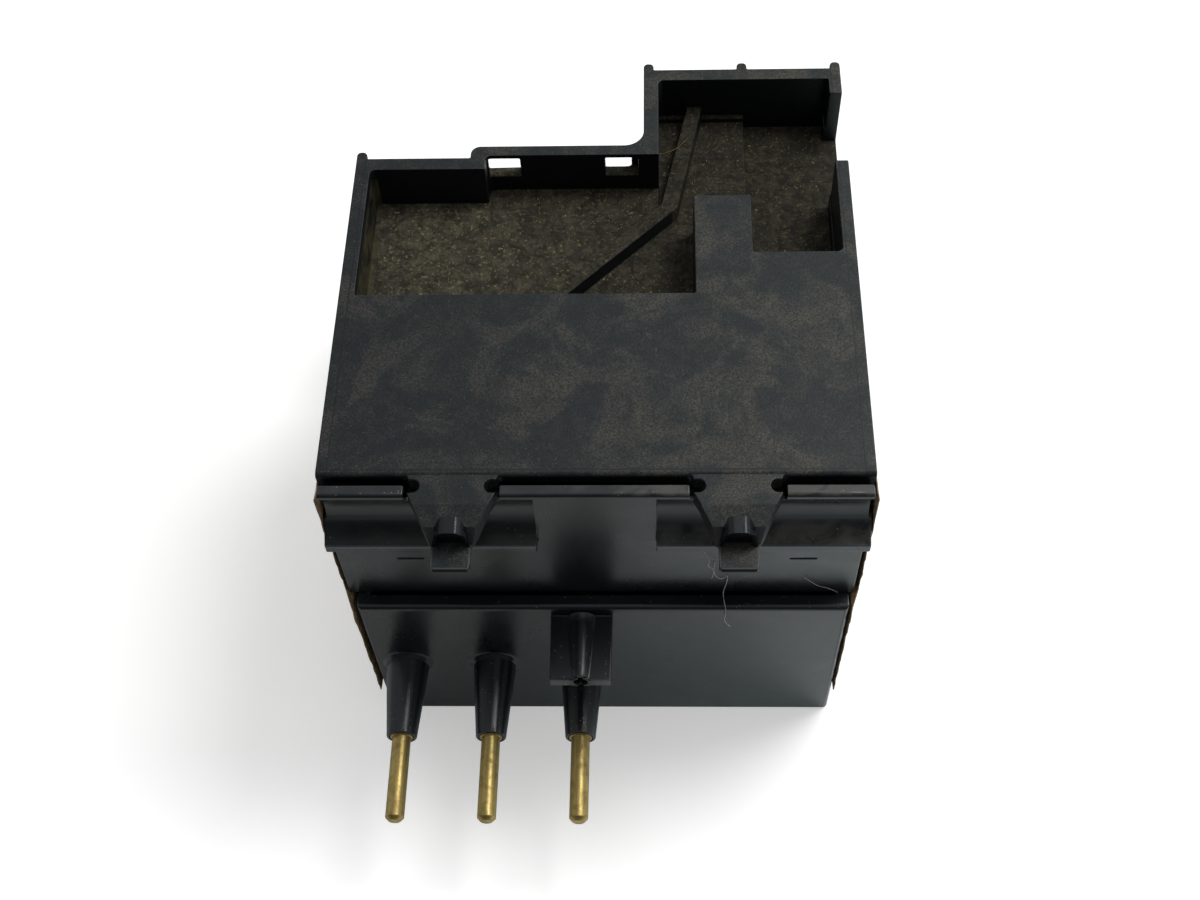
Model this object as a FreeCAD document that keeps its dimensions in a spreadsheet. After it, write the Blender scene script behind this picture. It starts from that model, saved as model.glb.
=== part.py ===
"""Three-pole thermal overload relay that plugs into a contactor, lying on its front face.

Every piece is a PartDesign body whose sizes are bound to the sheet called Sizes. Sizes are in
millimetres. Inside a body x runs across the poles from the left side, y runs from the pin wall
towards the cable side, and z runs from the front face up to the back plane. Each body is then
placed so that the origin lies under the middle of the whole relay, on the surface it rests on.
"""
import FreeCAD, Part
import os
import re

import Sketcher

document = FreeCAD.newDocument("overload_relay")
sheet = document.addObject("Spreadsheet::Sheet", "Sizes")

# ---------------------------------------------------------------- driving dimensions
SIZES = {
    # housing mouldings
    "body_width": (45.0, "width of the rear cover"),
    "body_height": (38.5, "front face to back plane"),
    "cover_height": (7.4, "depth of the rear cover moulding"),
    "cover_near": (1.9, "near edge of the back panel, from the pin wall"),
    "panel_thick": (1.8, "thickness of the back panel"),
    "cover_wall": (1.4, "left and far walls of the rear cover"),
    "right_wall": (1.2, "right wall of the rear cover"),
    "left_depth": (36.1, "far edge of the left part"),
    "middle_depth": (37.5, "far edge of the middle part"),
    "tall_depth": (47.1, "far edge of the long right part"),
    "left_step": (10.5, "left part to middle part"),
    "tall_step": (26.4, "middle part to long right part"),
    "nub_reach": (0.8, "barrier ribs past the far wall"),
    "nub_width": (0.95, "width of a barrier rib"),
    "bay_left_near": (20.3, "near edge of the left bay"),
    "bay_right_near": (24.8, "near edge of the right bay"),
    "tongue_left": (30.9, "left edge of the panel tongue"),
    "tongue_right": (36.0, "right edge of the panel tongue"),
    "tongue_reach": (31.35, "far edge of the panel tongue"),
    "main_floor": (4.7, "depth of the left bay"),
    "low_floor": (5.2, "depth of the bay beside the rib"),
    "corner_floor": (6.4, "depth of the right bay"),
    "rib_top": (3.6, "rib crest below the back plane"),
    "rib_width": (1.45, "width of the bay rib"),
    "rib_start": (16.9, "right edge of the rib at the left bay's near wall"),
    "rib_bend_x": (29.5, "right edge of the rib at its bend"),
    "rib_bend_y": (33.0, "bend of the rib"),
    "rib_end": (32.0, "right edge of the rib at the far wall"),
    "wall_gap_near": (35.4, "near end of the gap in the right wall"),
    "wall_gap_far": (43.8, "far end of the gap in the right wall"),
    "slot_one": (11.95, "left end of the first wall slot"),
    "slot_two": (22.85, "left end of the second wall slot"),
    "slot_length": (3.05, "length of a wall slot"),
    "slot_top": (0.5, "top of a wall slot below the back plane"),
    "slot_bottom": (2.8, "bottom of a wall slot below the back plane"),
    # latch hooks of the rear cover
    "hook_one": (11.1, "centre of the first hook"),
    "hook_two": (33.95, "centre of the second hook"),
    "hook_half": (3.6, "half width of a hook at its root"),
    "hook_end_half": (1.75, "half width of a hook at its nose"),
    "hook_neck": (3.2, "relief slot ends from the middle of a hook"),
    "hook_thick": (1.75, "underside of a hook arm below the back plane"),
    "arm_drop": (0.12, "top of a hook arm below the back plane"),
    "hook_bend": (0.6, "start of a hook arm's slope, before the pin wall"),
    "hook_crease": (2.4, "start of the steep face, before the pin wall"),
    "hook_nose": (3.05, "end of the steep face, before the pin wall"),
    "hook_reach": (5.3, "tip of the latch lip, before the pin wall"),
    "lip_half": (1.58, "half width of the latch lip"),
    "lip_drop": (2.4, "top of the latch lip below the back plane"),
    "lip_thick": (0.55, "thickness of the latch lip"),
    "lip_round": (0.35, "rounded corners of the latch lip"),
    "ridge_near": (3.25, "front of the ridge over the lip, before the pin wall"),
    "ridge_far": (1.75, "back of the ridge, before the pin wall"),
    "ridge_foot": (1.55, "half width of the ridge at the lip"),
    "ridge_shoulder": (1.2, "half width of the ridge at its shoulders"),
    "ridge_fall": (0.5, "shoulders below the crown of the ridge"),
    "ridge_crown": (0.55, "half width of the ridge's crown"),
    "ridge_round": (0.45, "rounding beside the ridge's crown"),
    "ridge_skin": (0.28, "wall of the ridge round its mouth"),
    "mouth_depth": (0.4, "hollow in the ridge's mouth"),
    "ridge_drop": (0.2, "crown of the ridge below the back plane"),
    "relief_width": (1.2, "width of the relief slots"),
    "relief_near": (0.45, "near side of the relief slots"),
    # middle housing
    "main_inset": (0.3, "middle housing inside the rear cover's sides"),
    "main_wall": (1.6, "walls of the middle housing"),
    "step_level": (21.8, "front housing to middle housing"),
    "strip_thick": (1.05, "top of the pin wall beside the panel"),
    "strip_round": (0.35, "rounded outer edge of the pin wall's top"),
    "pin_wall": (2.3, "thickness of the pin wall below the panel"),
    "recess_radius": (3.7, "radius of the hollow above the ledge"),
    "recess_depth": (0.92, "depth of that hollow into the pin wall"),
    "recess_level": (3.0, "centre of that hollow below the back plane"),
    "ledge_reach": (1.1, "ledge before the pin wall"),
    "ledge_bottom": (7.3, "underside of the ledge below the back plane"),
    "ledge_left_end": (17.6, "right end of the left ledge"),
    "ledge_right_start": (27.45, "left end of the right ledge"),
    "mark_level": (10.3, "core marks in the pin wall below the back plane"),
    "mark_left": (5.4, "left end of the left core mark"),
    "mark_right": (38.7, "left end of the right core mark"),
    "mark_length": (2.3, "length of a core mark"),
    "web_thick": (1.2, "inner walls and floor of the middle housing"),
    # front housing
    "front_left": (1.0, "left side of the front housing"),
    "front_right": (44.3, "right side of the front housing"),
    "front_reach": (1.6, "front housing before the pin wall"),
    "front_wall": (1.2, "walls of the front housing"),
    "recess_face": (1.2, "control face behind the resting rim"),
    "panel_inner": (4.4, "inner side of the front panel"),
    "block_near": (35.4, "near side of the terminal block"),
    "edge_radius": (0.5, "rounding of the outer edges"),
    # poles
    "first_pole": (4.1, "centre of the first pin"),
    "pole_pitch": (8.2, "pin to pin"),
    "pin_level": (10.5, "pin centre above the front face"),
    "pin_radius": (0.85, "radius of a plug pin"),
    "pin_shoulder": (1.06, "radius of a pin inside its sleeve"),
    "pin_tip": (17.0, "pin tip before the pin wall"),
    "pin_tail": (3.6, "inner end of a pin"),
    "pin_chamfer": (0.35, "chamfer of a pin tip"),
    "sleeve_tip": (9.1, "sleeve tip before the pin wall"),
    "sleeve_base_radius": (2.05, "sleeve at the wall"),
    "sleeve_tip_radius": (1.38, "sleeve at its tip"),
    "root_radius": (2.45, "flare at the root of a sleeve"),
    "root_length": (0.5, "length of that flare"),
    "bore_clearance": (0.05, "round fits, per side"),
    "guide_reach": (7.8, "guide tongue before the pin wall"),
    "guide_half": (2.75, "half width of the guide tongue"),
    "guide_level": (20.5, "top of the guide tongue"),
    "guide_thick": (1.2, "thickness of the guide tongue"),
    "guide_centre": (20.85, "centre of the guide tongue"),
    "funnel_radius": (1.3, "lead funnel at the wall"),
    "funnel_tip_radius": (0.92, "lead funnel at its mouth"),
    "funnel_wall": (0.3, "wall of the lead funnel"),
    # heaters and bimetals
    "strip_half": (0.45, "half thickness of a bimetal strip"),
    "strip_low": (8.5, "lower edge of a bimetal strip"),
    "strip_high": (15.0, "upper edge of a bimetal strip"),
    "strip_near": (6.0, "fixed end of a bimetal strip"),
    "strip_far": (30.0, "free end of a bimetal strip"),
    "heater_start": (9.0, "first turn of the heater ribbon"),
    "heater_pitch": (2.2, "pitch of the heater ribbon"),
    "heater_turns": (6, "turns of the heater ribbon"),
    "ribbon_width": (1.2, "width of the heater ribbon"),
    "ribbon_thick": (0.4, "thickness of the heater ribbon"),
    "heater_gap": (0.75, "heater ribbon to bimetal strip"),
    # terminals
    "first_terminal": (5.3, "centre of the first load terminal"),
    "bar_half": (2.2, "half width of a load bar"),
    "bar_level": (12.0, "front side of a load bar in its terminal"),
    "bar_high": (17.2, "front side of a load bar over the slides"),
    "bar_thick": (1.0, "thickness of a load bar"),
    "chamber_half": (3.1, "half width of a load terminal chamber"),
    "chamber_low": (4.0, "front side of the chamber"),
    "chamber_high": (19.3, "rear side of the chamber"),
    "clamp_half": (2.95, "half width of a clamp cage"),
    "clamp_side": (0.6, "side of a clamp cage"),
    "clamp_near": (39.6, "near side of a clamp cage"),
    "clamp_far": (44.4, "far side of a clamp cage"),
    "clamp_low": (7.4, "front side of a clamp cage, open"),
    "clamp_plate": (1.6, "threaded plate of a clamp cage"),
    "clamp_high": (19.0, "rear side of a clamp cage, open"),
    "clamp_back": (1.2, "rear plate of a clamp cage"),
    "screw_radius": (1.4, "shank of a load terminal screw"),
    "screw_head": (2.3, "head of a load terminal screw"),
    "screw_head_low": (1.4, "front of a load terminal screw's head"),
    "driver_radius": (1.9, "driver hole before a terminal screw"),
    "slot_half": (0.35, "half width of a screw's driver slot"),
    "aux_one": (31.85, "centre of the first control terminal column"),
    "aux_two": (39.95, "centre of the second control terminal column"),
    "aux_half": (2.7, "half width of a control terminal chamber"),
    "aux_bar_half": (2.45, "half width of a control terminal plate"),
    "aux_thick": (0.8, "thickness of a control terminal plate"),
    "front_plate": (9.0, "front control terminal plates"),
    "rear_plate": (18.6, "rear control terminal plates"),
    "front_screw_y": (43.4, "front control screws"),
    "rear_screw_y": (38.7, "rear control screws"),
    "wire_room": (4.0, "wire space before a control terminal plate"),
    "well_depth": (5.1, "depth of a round control screw well"),
    "aux_shank": (1.1, "shank of a control screw"),
    "aux_head": (2.0, "head of a control screw"),
    # contacts
    "blade_thick": (0.6, "thickness of a contact blade"),
    "no_blade": (33.0, "left face of the closing contact blades"),
    "nc_blade": (38.6, "left face of the opening contact blades"),
    "rivet_half": (0.7, "half side of a contact rivet's square face"),
    "rivet_height": (0.4, "height of a contact rivet"),
    "contact_y": (29.6, "contact rivets from the pin wall"),
    "front_contact": (15.2, "level of the front rivets"),
    "rear_contact": (18.2, "level of the rear rivets"),
    "contact_gap": (0.06, "gap of the closed contact pair"),
    "open_gap": (1.46, "gap of the open contact pair"),
    "lever_x": (36.8, "contact lever pivot"),
    "lever_y": (22.0, "contact lever pivot from the pin wall"),
    # mechanism
    "frame_low": (12.0, "front side of the mechanism frame"),
    "frame_thick": (1.2, "plate of the mechanism frame"),
    "frame_left": (25.0, "left side of the mechanism frame"),
    "frame_far": (33.0, "far side of the mechanism frame"),
    "pivot_radius": (0.9, "pivot posts"),
    "foot_half": (0.9, "half side of a foot of the mechanism frame"),
    "slide_near": (28.6, "near side of the trip slides"),
    "slide_depth": (1.6, "depth of the trip slide"),
    "slide_end": (29.6, "nose of the trip slide"),
    "finger_gap": (0.75, "cold bimetal strip to slide finger"),
    "trip_x": (33.0, "trip lever pivot"),
    "trip_y": (18.0, "trip lever pivot from the pin wall"),
    "arm_x": (26.4, "adjusting arm pivot"),
    "arm_y": (16.5, "adjusting arm pivot from the pin wall"),
    "running_gap": (0.1, "clearance of sliding pieces"),
    # controls
    "dial_x": (29.5, "current dial"),
    "dial_y": (11.0, "current dial from the pin wall"),
    "dial_radius": (4.6, "face of the current dial"),
    "dial_shaft": (2.55, "shaft of the current dial"),
    "dial_front": (1.5, "front of the current dial"),
    "dial_thick": (1.5, "thickness of the dial's face"),
    "cam_radius": (1.9, "cam of the current dial"),
    "cam_offset": (0.6, "cam centre from the dial's axis"),
    "button_x": (38.6, "reset and stop buttons"),
    "reset_y": (8.0, "reset button from the pin wall"),
    "stop_y": (18.5, "stop button from the pin wall"),
    "reset_half": (2.7, "half side of the reset button"),
    "stop_radius": (2.6, "radius of the stop button"),
    "button_front": (0.5, "front of a resting button"),
    "flange_grow": (0.7, "button flange past the cap"),
    "flange_thick": (1.0, "thickness of a button flange"),
    "stem_radius": (1.1, "stem of a button"),
    "spring_radius": (1.75, "mean radius of a button spring"),
    "spring_wire": (0.25, "wire radius of a button spring"),
    "spring_turns": (2, "turns of a button spring"),
    "button_chamfer": (0.5, "chamfer round the front of a button"),
    "window_left": (24.2, "left side of the dial window"),
    "window_width": (10.0, "width of the dial window"),
    "window_near": (5.2, "hinge axis of the dial window"),
    "window_far": (17.4, "free edge of the dial window"),
    "window_level": (0.75, "hinge axis above the front face"),
    "window_thick": (0.8, "thickness of the dial window"),
    "hinge_radius": (0.4, "hinge pin of the dial window"),
    "flag_left": (32.6, "left end of the trip flag"),
    "flag_length": (6.0, "length of the trip flag"),
    "flag_near": (24.6, "near side of the trip flag"),
    "flag_width": (3.4, "width of the trip flag"),
    "flag_thick": (1.1, "thickness of the trip flag"),
}

for row, (alias, (number, words)) in enumerate(SIZES.items(), start=1):
    sheet.set(f"A{row}", words)
    sheet.set(f"B{row}", str(number))
    sheet.setAlias(f"B{row}", alias)
document.recompute()

PIECES = []


# ---------------------------------------------------------------- modelling helpers
def size(alias):
    """Give one driving dimension as a number."""
    return float(SIZES[alias][0])


def formula(text):
    """Point every size name in a formula at the sheet."""
    return re.sub(r"[a-z][a-z_]+", lambda found: "Sizes." + found.group()
                  if found.group() in SIZES else found.group(), str(text))


def bind(item, **formulas):
    """Bind properties to formulas; a double underscore stands for a dot."""
    for name, text in formulas.items():
        item.setExpression(name.replace("__", "."), formula(text))


def piece(label, many=False):
    """Start one sub-part as a body in the relay's frame; many allows separate solids."""
    body = document.addObject("PartDesign::Body", label)
    body.Label = label
    body.AllowCompound = many
    bind(body, Placement__Base__x="-body_width / 2",
         Placement__Base__y="(pin_tip - tall_depth - nub_reach) / 2")
    PIECES.append(body)
    return body


def block(body, name, x, y, z, cut=False):
    """Add or cut a box between three pairs of formulas."""
    kind = "PartDesign::SubtractiveBox" if cut else "PartDesign::AdditiveBox"
    item = body.newObject(kind, name)
    bind(item, Length=f"({x[1]}) - ({x[0]})", Width=f"({y[1]}) - ({y[0]})",
         Height=f"({z[1]}) - ({z[0]})", Placement__Base__x=x[0],
         Placement__Base__y=y[0], Placement__Base__z=z[0])
    return item


TURNS = {
    "x": FreeCAD.Rotation(FreeCAD.Vector(0, 1, 0), 90),
    "y": FreeCAD.Rotation(FreeCAD.Vector(1, 0, 0), -90),
    "-y": FreeCAD.Rotation(FreeCAD.Vector(1, 0, 0), 90),
    "z": FreeCAD.Rotation(),
}


def rod(body, name, axis, start, length, radius, tip=None, cut=False):
    """Add or cut a cylinder, or a cone when the tip's radius is given, from a start point."""
    shape = "Cylinder" if tip is None else "Cone"
    item = body.newObject("PartDesign::" + ("Subtractive" if cut else "Additive") + shape, name)
    item.Placement = FreeCAD.Placement(FreeCAD.Vector(), TURNS[axis])
    bind(item, Height=length, Placement__Base__x=start[0],
         Placement__Base__y=start[1], Placement__Base__z=start[2])
    if tip is None:
        bind(item, Radius=radius)
    else:
        bind(item, Radius1=radius, Radius2=tip)
    return item


def sketch(body, name, plane, level, *loops):
    """Draw closed straight-sided loops, every corner placed by two bound dimensions."""
    drawing = body.newObject("Sketcher::SketchObject", name)
    origin = body.Origin.OriginFeatures
    support = next(item for item in origin if item.Role == plane + "_Plane")
    drawing.AttachmentSupport = [(support, "")]
    drawing.MapMode = "FlatFace"
    bind(drawing, AttachmentOffset__Base__z=level)
    for corners in loops:
        first = drawing.GeometryCount
        count = len(corners)
        guess = [FreeCAD.Vector(index + 1, (index + 1) ** 2, 0) for index in range(count)]
        for index in range(count):
            line = Part.LineSegment(guess[index], guess[(index + 1) % count])
            drawing.addGeometry(line, False)
        for index in range(count):
            following = (index + 1) % count
            drawing.addConstraint(Sketcher.Constraint(
                "Coincident", first + index, 2, first + following, 1))
        for index, (across, along) in enumerate(corners):
            for kind, number, text in (("DistanceX", guess[index].x, across),
                                       ("DistanceY", guess[index].y, along)):
                place = drawing.addConstraint(
                    Sketcher.Constraint(kind, -1, 1, first + index, 1, number))
                drawing.setExpression(f"Constraints[{place}]", formula(text))
    return drawing


def pad(body, name, plane, level, length, *loops):
    """Pad loops drawn on a plane at a level."""
    item = body.newObject("PartDesign::Pad", name)
    item.Profile = sketch(body, name + "Sketch", plane, level, *loops)
    bind(item, Length=length)
    return item


def pocket(body, name, plane, level, length, *loops):
    """Pocket loops drawn on a plane at a level, against the plane's normal."""
    item = body.newObject("PartDesign::Pocket", name)
    item.Profile = sketch(body, name + "Sketch", plane, level, *loops)
    bind(item, Length=length)
    return item


def upright(edge):
    """Tell whether an edge is straight and runs along z."""
    ends = [vertex.Point for vertex in edge.Vertexes]
    return (len(ends) == 2 and abs(ends[0].x - ends[1].x) < 1e-6
            and abs(ends[0].y - ends[1].y) < 1e-6)


def round_edges(body, name, radius, wanted):
    """Fillet the edges of the body so far that the test wanted picks."""
    document.recompute()
    base = body.Tip
    names = [f"Edge{number}" for number, edge in enumerate(base.Shape.Edges, start=1)
             if wanted(edge)]
    item = body.newObject("PartDesign::Fillet", name)
    item.Base = (base, names)
    bind(item, Radius=radius)
    return item


def bevel_edges(body, name, breadth, wanted):
    """Chamfer the edges of the body so far that the test wanted picks."""
    document.recompute()
    base = body.Tip
    names = [f"Edge{number}" for number, edge in enumerate(base.Shape.Edges, start=1)
             if wanted(edge)]
    item = body.newObject("PartDesign::Chamfer", name)
    item.Base = (base, names)
    bind(item, Size=breadth)
    return item


def near(edge, x=None, y=None, z=None):
    """Tell whether an edge's middle lies at the given place; None leaves an axis free."""
    middle = edge.BoundBox.Center
    return all(wanted is None or abs(found - wanted) < 0.02
               for found, wanted in zip((middle.x, middle.y, middle.z), (x, y, z)))


# ---------------------------------------------------------------- housing mouldings
COVER_LOW = "body_height - cover_height"
HOOKS = ("hook_one", "hook_two")


def stepped_outline(inset_left, inset_right, near_edge, inset_far):
    """Give the relay's stepped plan: short left part, middle part and long right part."""
    right = f"body_width - {inset_right}"
    return [(inset_left, near_edge), (right, near_edge), (right, f"tall_depth - {inset_far}"),
            (f"tall_step + {inset_left}", f"tall_depth - {inset_far}"),
            (f"tall_step + {inset_left}", f"middle_depth - {inset_far}"),
            (f"left_step + {inset_left}", f"middle_depth - {inset_far}"),
            (f"left_step + {inset_left}", f"left_depth - {inset_far}"),
            (inset_left, f"left_depth - {inset_far}")]


def rear_cover():
    cover = piece("rear_cover")
    top = "body_height"
    pad(cover, "Shell", "XY", COVER_LOW, "cover_height",
        stepped_outline("0", "0", "cover_near", "0"))
    # outer corners of the steps, and the hollow corner against the long right part
    for name, x, y, radius in (("MiddleCorner", "left_step", "middle_depth", 0.9),
                               ("TallHollow", "tall_step", "middle_depth", 1.8)):
        round_edges(cover, name, radius,
                    lambda edge, x=x, y=y: upright(edge) and near(edge, size(x), size(y)))
    # barrier ribs outside the far walls
    rib_places = (("0", "left_depth"), ("tall_step", "tall_depth"),
                  ("(tall_step + body_width - nub_width) / 2", "tall_depth"),
                  ("body_width - nub_width", "tall_depth"))
    for number, (x, wall) in enumerate(rib_places):
        block(cover, f"BarrierRib{number}", (x, f"{x} + nub_width"),
              (f"{wall} - 0.2", f"{wall} + nub_reach"), (COVER_LOW, top))
    tips = [(size("left_depth"), 0.0), (size("tall_depth"), size("tall_step"))]
    round_edges(cover, "RibTips", 0.4, lambda edge: upright(edge) and any(
        near(edge, y=wall + size("nub_reach")) for wall, _ in tips))
    # the open bays, with a lower floor beside the rib and the lowest in the right corner
    pocket(cover, "Bays", "XY", top, "main_floor", [
        ("cover_wall", "bay_left_near"), ("tongue_left", "bay_left_near"),
        ("tongue_left", "tongue_reach"), ("tongue_right", "tongue_reach"),
        ("tongue_right", "bay_right_near"), ("body_width - right_wall", "bay_right_near"),
        ("body_width - right_wall", "tall_depth - cover_wall"),
        ("tall_step + cover_wall", "tall_depth - cover_wall"),
        ("tall_step + cover_wall", "middle_depth - right_wall"),
        ("left_step + cover_wall", "middle_depth - right_wall"),
        ("left_step + cover_wall", "left_depth - cover_wall"),
        ("cover_wall", "left_depth - cover_wall")])
    round_edges(cover, "BayCorners", 0.5, lambda edge: upright(edge) and any(
        near(edge, x, y) for x, y in (
            (size("cover_wall"), size("left_depth") - size("cover_wall")),
            (size("left_step") + size("cover_wall"), size("middle_depth") - size("right_wall")),
            (size("tall_step") + size("cover_wall"), size("tall_depth") - size("cover_wall")),
            (size("body_width") - size("right_wall"), size("bay_right_near")))))
    pocket(cover, "LowFloor", "XY", f"{top} - main_floor", "low_floor - main_floor", [
        ("rib_start", "bay_left_near"), ("tongue_left", "bay_left_near"),
        ("tongue_left", "tongue_reach"), ("tongue_right", "tongue_reach"),
        ("tongue_right", "tall_depth - cover_wall - 0.5"),
        ("tall_step + cover_wall", "tall_depth - cover_wall - 0.5"),
        ("tall_step + cover_wall", "rib_bend_y")])
    block(cover, "CornerFloor", ("tongue_right", "body_width - right_wall - 0.1"),
          ("bay_right_near + 0.1", "tall_depth - cover_wall"),
          (f"{top} - corner_floor", f"{top} - main_floor"), cut=True)
    # the bent rib across the bays
    pad(cover, "BayRib", "XY", f"{top} - low_floor", "low_floor - rib_top", [
        ("rib_start - rib_width * 1.35", "bay_left_near"), ("rib_start", "bay_left_near"),
        ("rib_bend_x", "rib_bend_y"), ("rib_end", "tall_depth - cover_wall"),
        ("rib_end - rib_width", "tall_depth - cover_wall"),
        ("rib_bend_x - rib_width", "rib_bend_y + rib_width * 0.4")])
    # gap in the right wall and slots in the middle far wall
    block(cover, "WallGap", ("body_width - right_wall - 0.2", "body_width + 0.1"),
          ("wall_gap_near", "wall_gap_far"), (f"{top} - corner_floor", f"{top} + 0.1"), cut=True)
    for number, start in enumerate(("slot_one", "slot_two")):
        block(cover, f"WallSlot{number}", (start, f"{start} + slot_length"),
              ("middle_depth - right_wall - 0.1", "middle_depth + 0.1"),
              (f"{top} - slot_bottom", f"{top} - slot_top"), cut=True)
    # hollow underside: a lip over the pin wall and a shell under the panel
    block(cover, "PinWallSeat", ("-0.1", "body_width + 0.1"), ("cover_near - 0.1", "pin_wall + 0.2"),
          (f"{COVER_LOW} - 0.1", f"{top} - panel_thick"), cut=True)
    block(cover, "PanelHollow", ("cover_wall", "body_width - right_wall"),
          ("pin_wall + 0.2 + cover_wall", "bay_left_near - cover_wall"),
          (f"{COVER_LOW} - 0.1", f"{top} - panel_thick"), cut=True)
    block(cover, "TongueHollow", ("tongue_left + cover_wall", "body_width - right_wall"),
          ("bay_left_near - cover_wall - 0.1", "bay_right_near - cover_wall"),
          (f"{COVER_LOW} - 0.1", f"{top} - panel_thick"), cut=True)
    round_edges(cover, "PanelEdge", 0.5, lambda edge: near(
        edge, size("body_width") / 2, size("cover_near"), size("body_height")))
    for number, centre in enumerate(HOOKS):
        latch_hook(cover, number, centre)
    return cover


def latch_hook(cover, number, centre):
    """One latch hook: a tapered sloping arm, a ridge and a lip that snaps into the contactor."""
    top = "body_height"
    lip = f"{top} - lip_drop"
    root = "cover_near + 0.6"
    pad(cover, f"HookArm{number}", "YZ", f"{centre} - hook_half", "hook_half * 2", [
        (root, f"{top} - arm_drop"), ("-hook_bend", f"{top} - arm_drop"),
        ("-hook_crease", f"{top} - 0.7"), ("-hook_nose", lip), ("-hook_reach", lip),
        ("-hook_reach", f"{lip} - lip_thick"), ("-hook_crease", f"{lip} - lip_thick"),
        ("-hook_bend", f"{top} - hook_thick"), (root, f"{top} - hook_thick")])
    sides = []
    for side in (-1, 1):
        sides.append([(f"{centre} + {side} * lip_half", "-hook_reach - 0.5"),
                      (f"{centre} + {side} * (hook_half + 1)", "-hook_reach - 0.5"),
                      (f"{centre} + {side} * (hook_half + 1)", "relief_near"),
                      (f"{centre} + {side} * hook_half", "relief_near"),
                      (f"{centre} + {side} * hook_end_half", "-hook_nose"),
                      (f"{centre} + {side} * lip_half", "-hook_nose - 0.2")])
    pocket(cover, f"HookTaper{number}", "XY", f"{top} + 0.1", "lip_drop + lip_thick + 0.2",
           *sides)
    round_edges(cover, f"LipCorners{number}", "lip_round", lambda edge: upright(edge) and near(
        edge, y=-size("hook_reach")) and abs(edge.BoundBox.Center.x - size(centre)) < size("hook_half"))
    for side, start in ((-1, f"{centre} - hook_half - 0.1"), (1, f"{centre} + hook_neck")):
        block(cover, f"Relief{number}{'LR'[side > 0]}", (start, f"{start} + hook_half + 0.1 - hook_neck"),
              ("relief_near", "relief_near + relief_width"),
              (f"{top} - hook_thick - 0.1", f"{top} + 0.1"), cut=True)
        rod(cover, f"ReliefEnd{number}{'LR'[side > 0]}", "z",
            (f"{centre} + {side} * hook_neck", "relief_near + relief_width / 2",
             f"{top} - hook_thick - 0.1"),
            "hook_thick + 0.2", "relief_width / 2", cut=True)
    crown = f"{top} - ridge_drop"
    pad(cover, f"Ridge{number}", "XZ", "ridge_far", "ridge_near - ridge_far", [
        (f"{centre} - ridge_foot", lip), (f"{centre} - ridge_shoulder", f"{crown} - ridge_fall"),
        (f"{centre} - ridge_crown", crown), (f"{centre} + ridge_crown", crown),
        (f"{centre} + ridge_shoulder", f"{crown} - ridge_fall"), (f"{centre} + ridge_foot", lip)])
    round_edges(cover, f"RidgeCrown{number}", "ridge_round", lambda edge: near(
        edge, y=-(size("ridge_near") + size("ridge_far")) / 2, z=size(top) - size("ridge_drop"))
        and abs(edge.BoundBox.Center.x - size(centre)) < size("ridge_foot"))
    pocket(cover, f"Mouth{number}", "XZ", "ridge_near + 0.1", "mouth_depth + 0.1", [
        (f"{centre} - ridge_foot + ridge_skin", lip),
        (f"{centre} - ridge_shoulder + ridge_skin", f"{crown} - ridge_fall"),
        (f"{centre} - ridge_crown + ridge_skin / 2", f"{crown} - ridge_skin"),
        (f"{centre} + ridge_crown - ridge_skin / 2", f"{crown} - ridge_skin"),
        (f"{centre} + ridge_shoulder - ridge_skin", f"{crown} - ridge_fall"),
        (f"{centre} + ridge_foot - ridge_skin", lip)])


def main_housing():
    housing = piece("main_housing")
    top = "body_height"
    left = "main_inset"
    right = "body_width - main_inset"
    pad(housing, "Ring", "XY", "step_level", f"{COVER_LOW} - step_level",
        stepped_outline("main_inset", "main_inset", "0", "main_inset"))
    inner = "(main_inset + main_wall)"
    pocket(housing, "Hollow", "XY", COVER_LOW, f"{COVER_LOW} - step_level - web_thick", [
        (inner, "pin_wall"), (f"body_width - {inner}", "pin_wall"),
        (f"body_width - {inner}", f"tall_depth - {inner}"),
        (f"tall_step + {inner}", f"tall_depth - {inner}"),
        (f"tall_step + {inner}", f"middle_depth - {inner}"),
        (f"left_step + {inner}", f"middle_depth - {inner}"),
        (f"left_step + {inner}", f"left_depth - {inner}"),
        (inner, f"left_depth - {inner}")])
    # webs that carry the rear cover's floor
    for number, x in enumerate(("body_width / 3", "body_width * 2 / 3")):
        block(housing, f"Web{number}", (f"{x} - web_thick / 2", f"{x} + web_thick / 2"),
              ("pin_wall - 0.1", "left_depth - main_inset"), ("step_level", COVER_LOW))
    # the pin wall rises beside the panel, with a ledge below a hollow on each side
    block(housing, "PinWall", (left, right), ("0", "pin_wall"), ("step_level", f"{top} - panel_thick - 0.1"))
    block(housing, "Strip", (left, right), ("0", "strip_thick"), ("step_level", top))
    round_edges(housing, "StripEdge", "strip_round", lambda edge: near(edge, y=0, z=size(top)))
    bands = (("Left", "0", "ledge_left_end"), ("Right", "ledge_right_start", "body_width"))
    for name, start, end in bands:
        block(housing, f"{name}Ledge", (start, end), ("-ledge_reach", "pin_wall"),
              (f"{top} - ledge_bottom", f"{top} - recess_level - 1.5"))
    for name, start, end in bands:
        rod(housing, f"{name}Recess", "x",
            (f"{start} - 0.1" if start == "0" else start, "recess_depth - recess_radius",
             f"{top} - recess_level"),
            f"{end} - {start} + 0.1", "recess_radius", cut=True)
    for side in ("left", "right"):
        block(housing, f"CoreMark{side.title()}", (f"mark_{side}", f"mark_{side} + mark_length"),
              ("-0.1", "0.5"), (f"{top} - mark_level - 0.3", f"{top} - mark_level"), cut=True)
    for number, centre in enumerate(HOOKS):
        block(housing, f"HookGap{number}",
              (f"{centre} - hook_half - 0.25", f"{centre} + hook_half + 0.25"),
              ("-0.1", "pin_wall + 0.1"), (f"{top} - hook_thick - 0.2", f"{top} + 0.1"), cut=True)
    return housing


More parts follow.
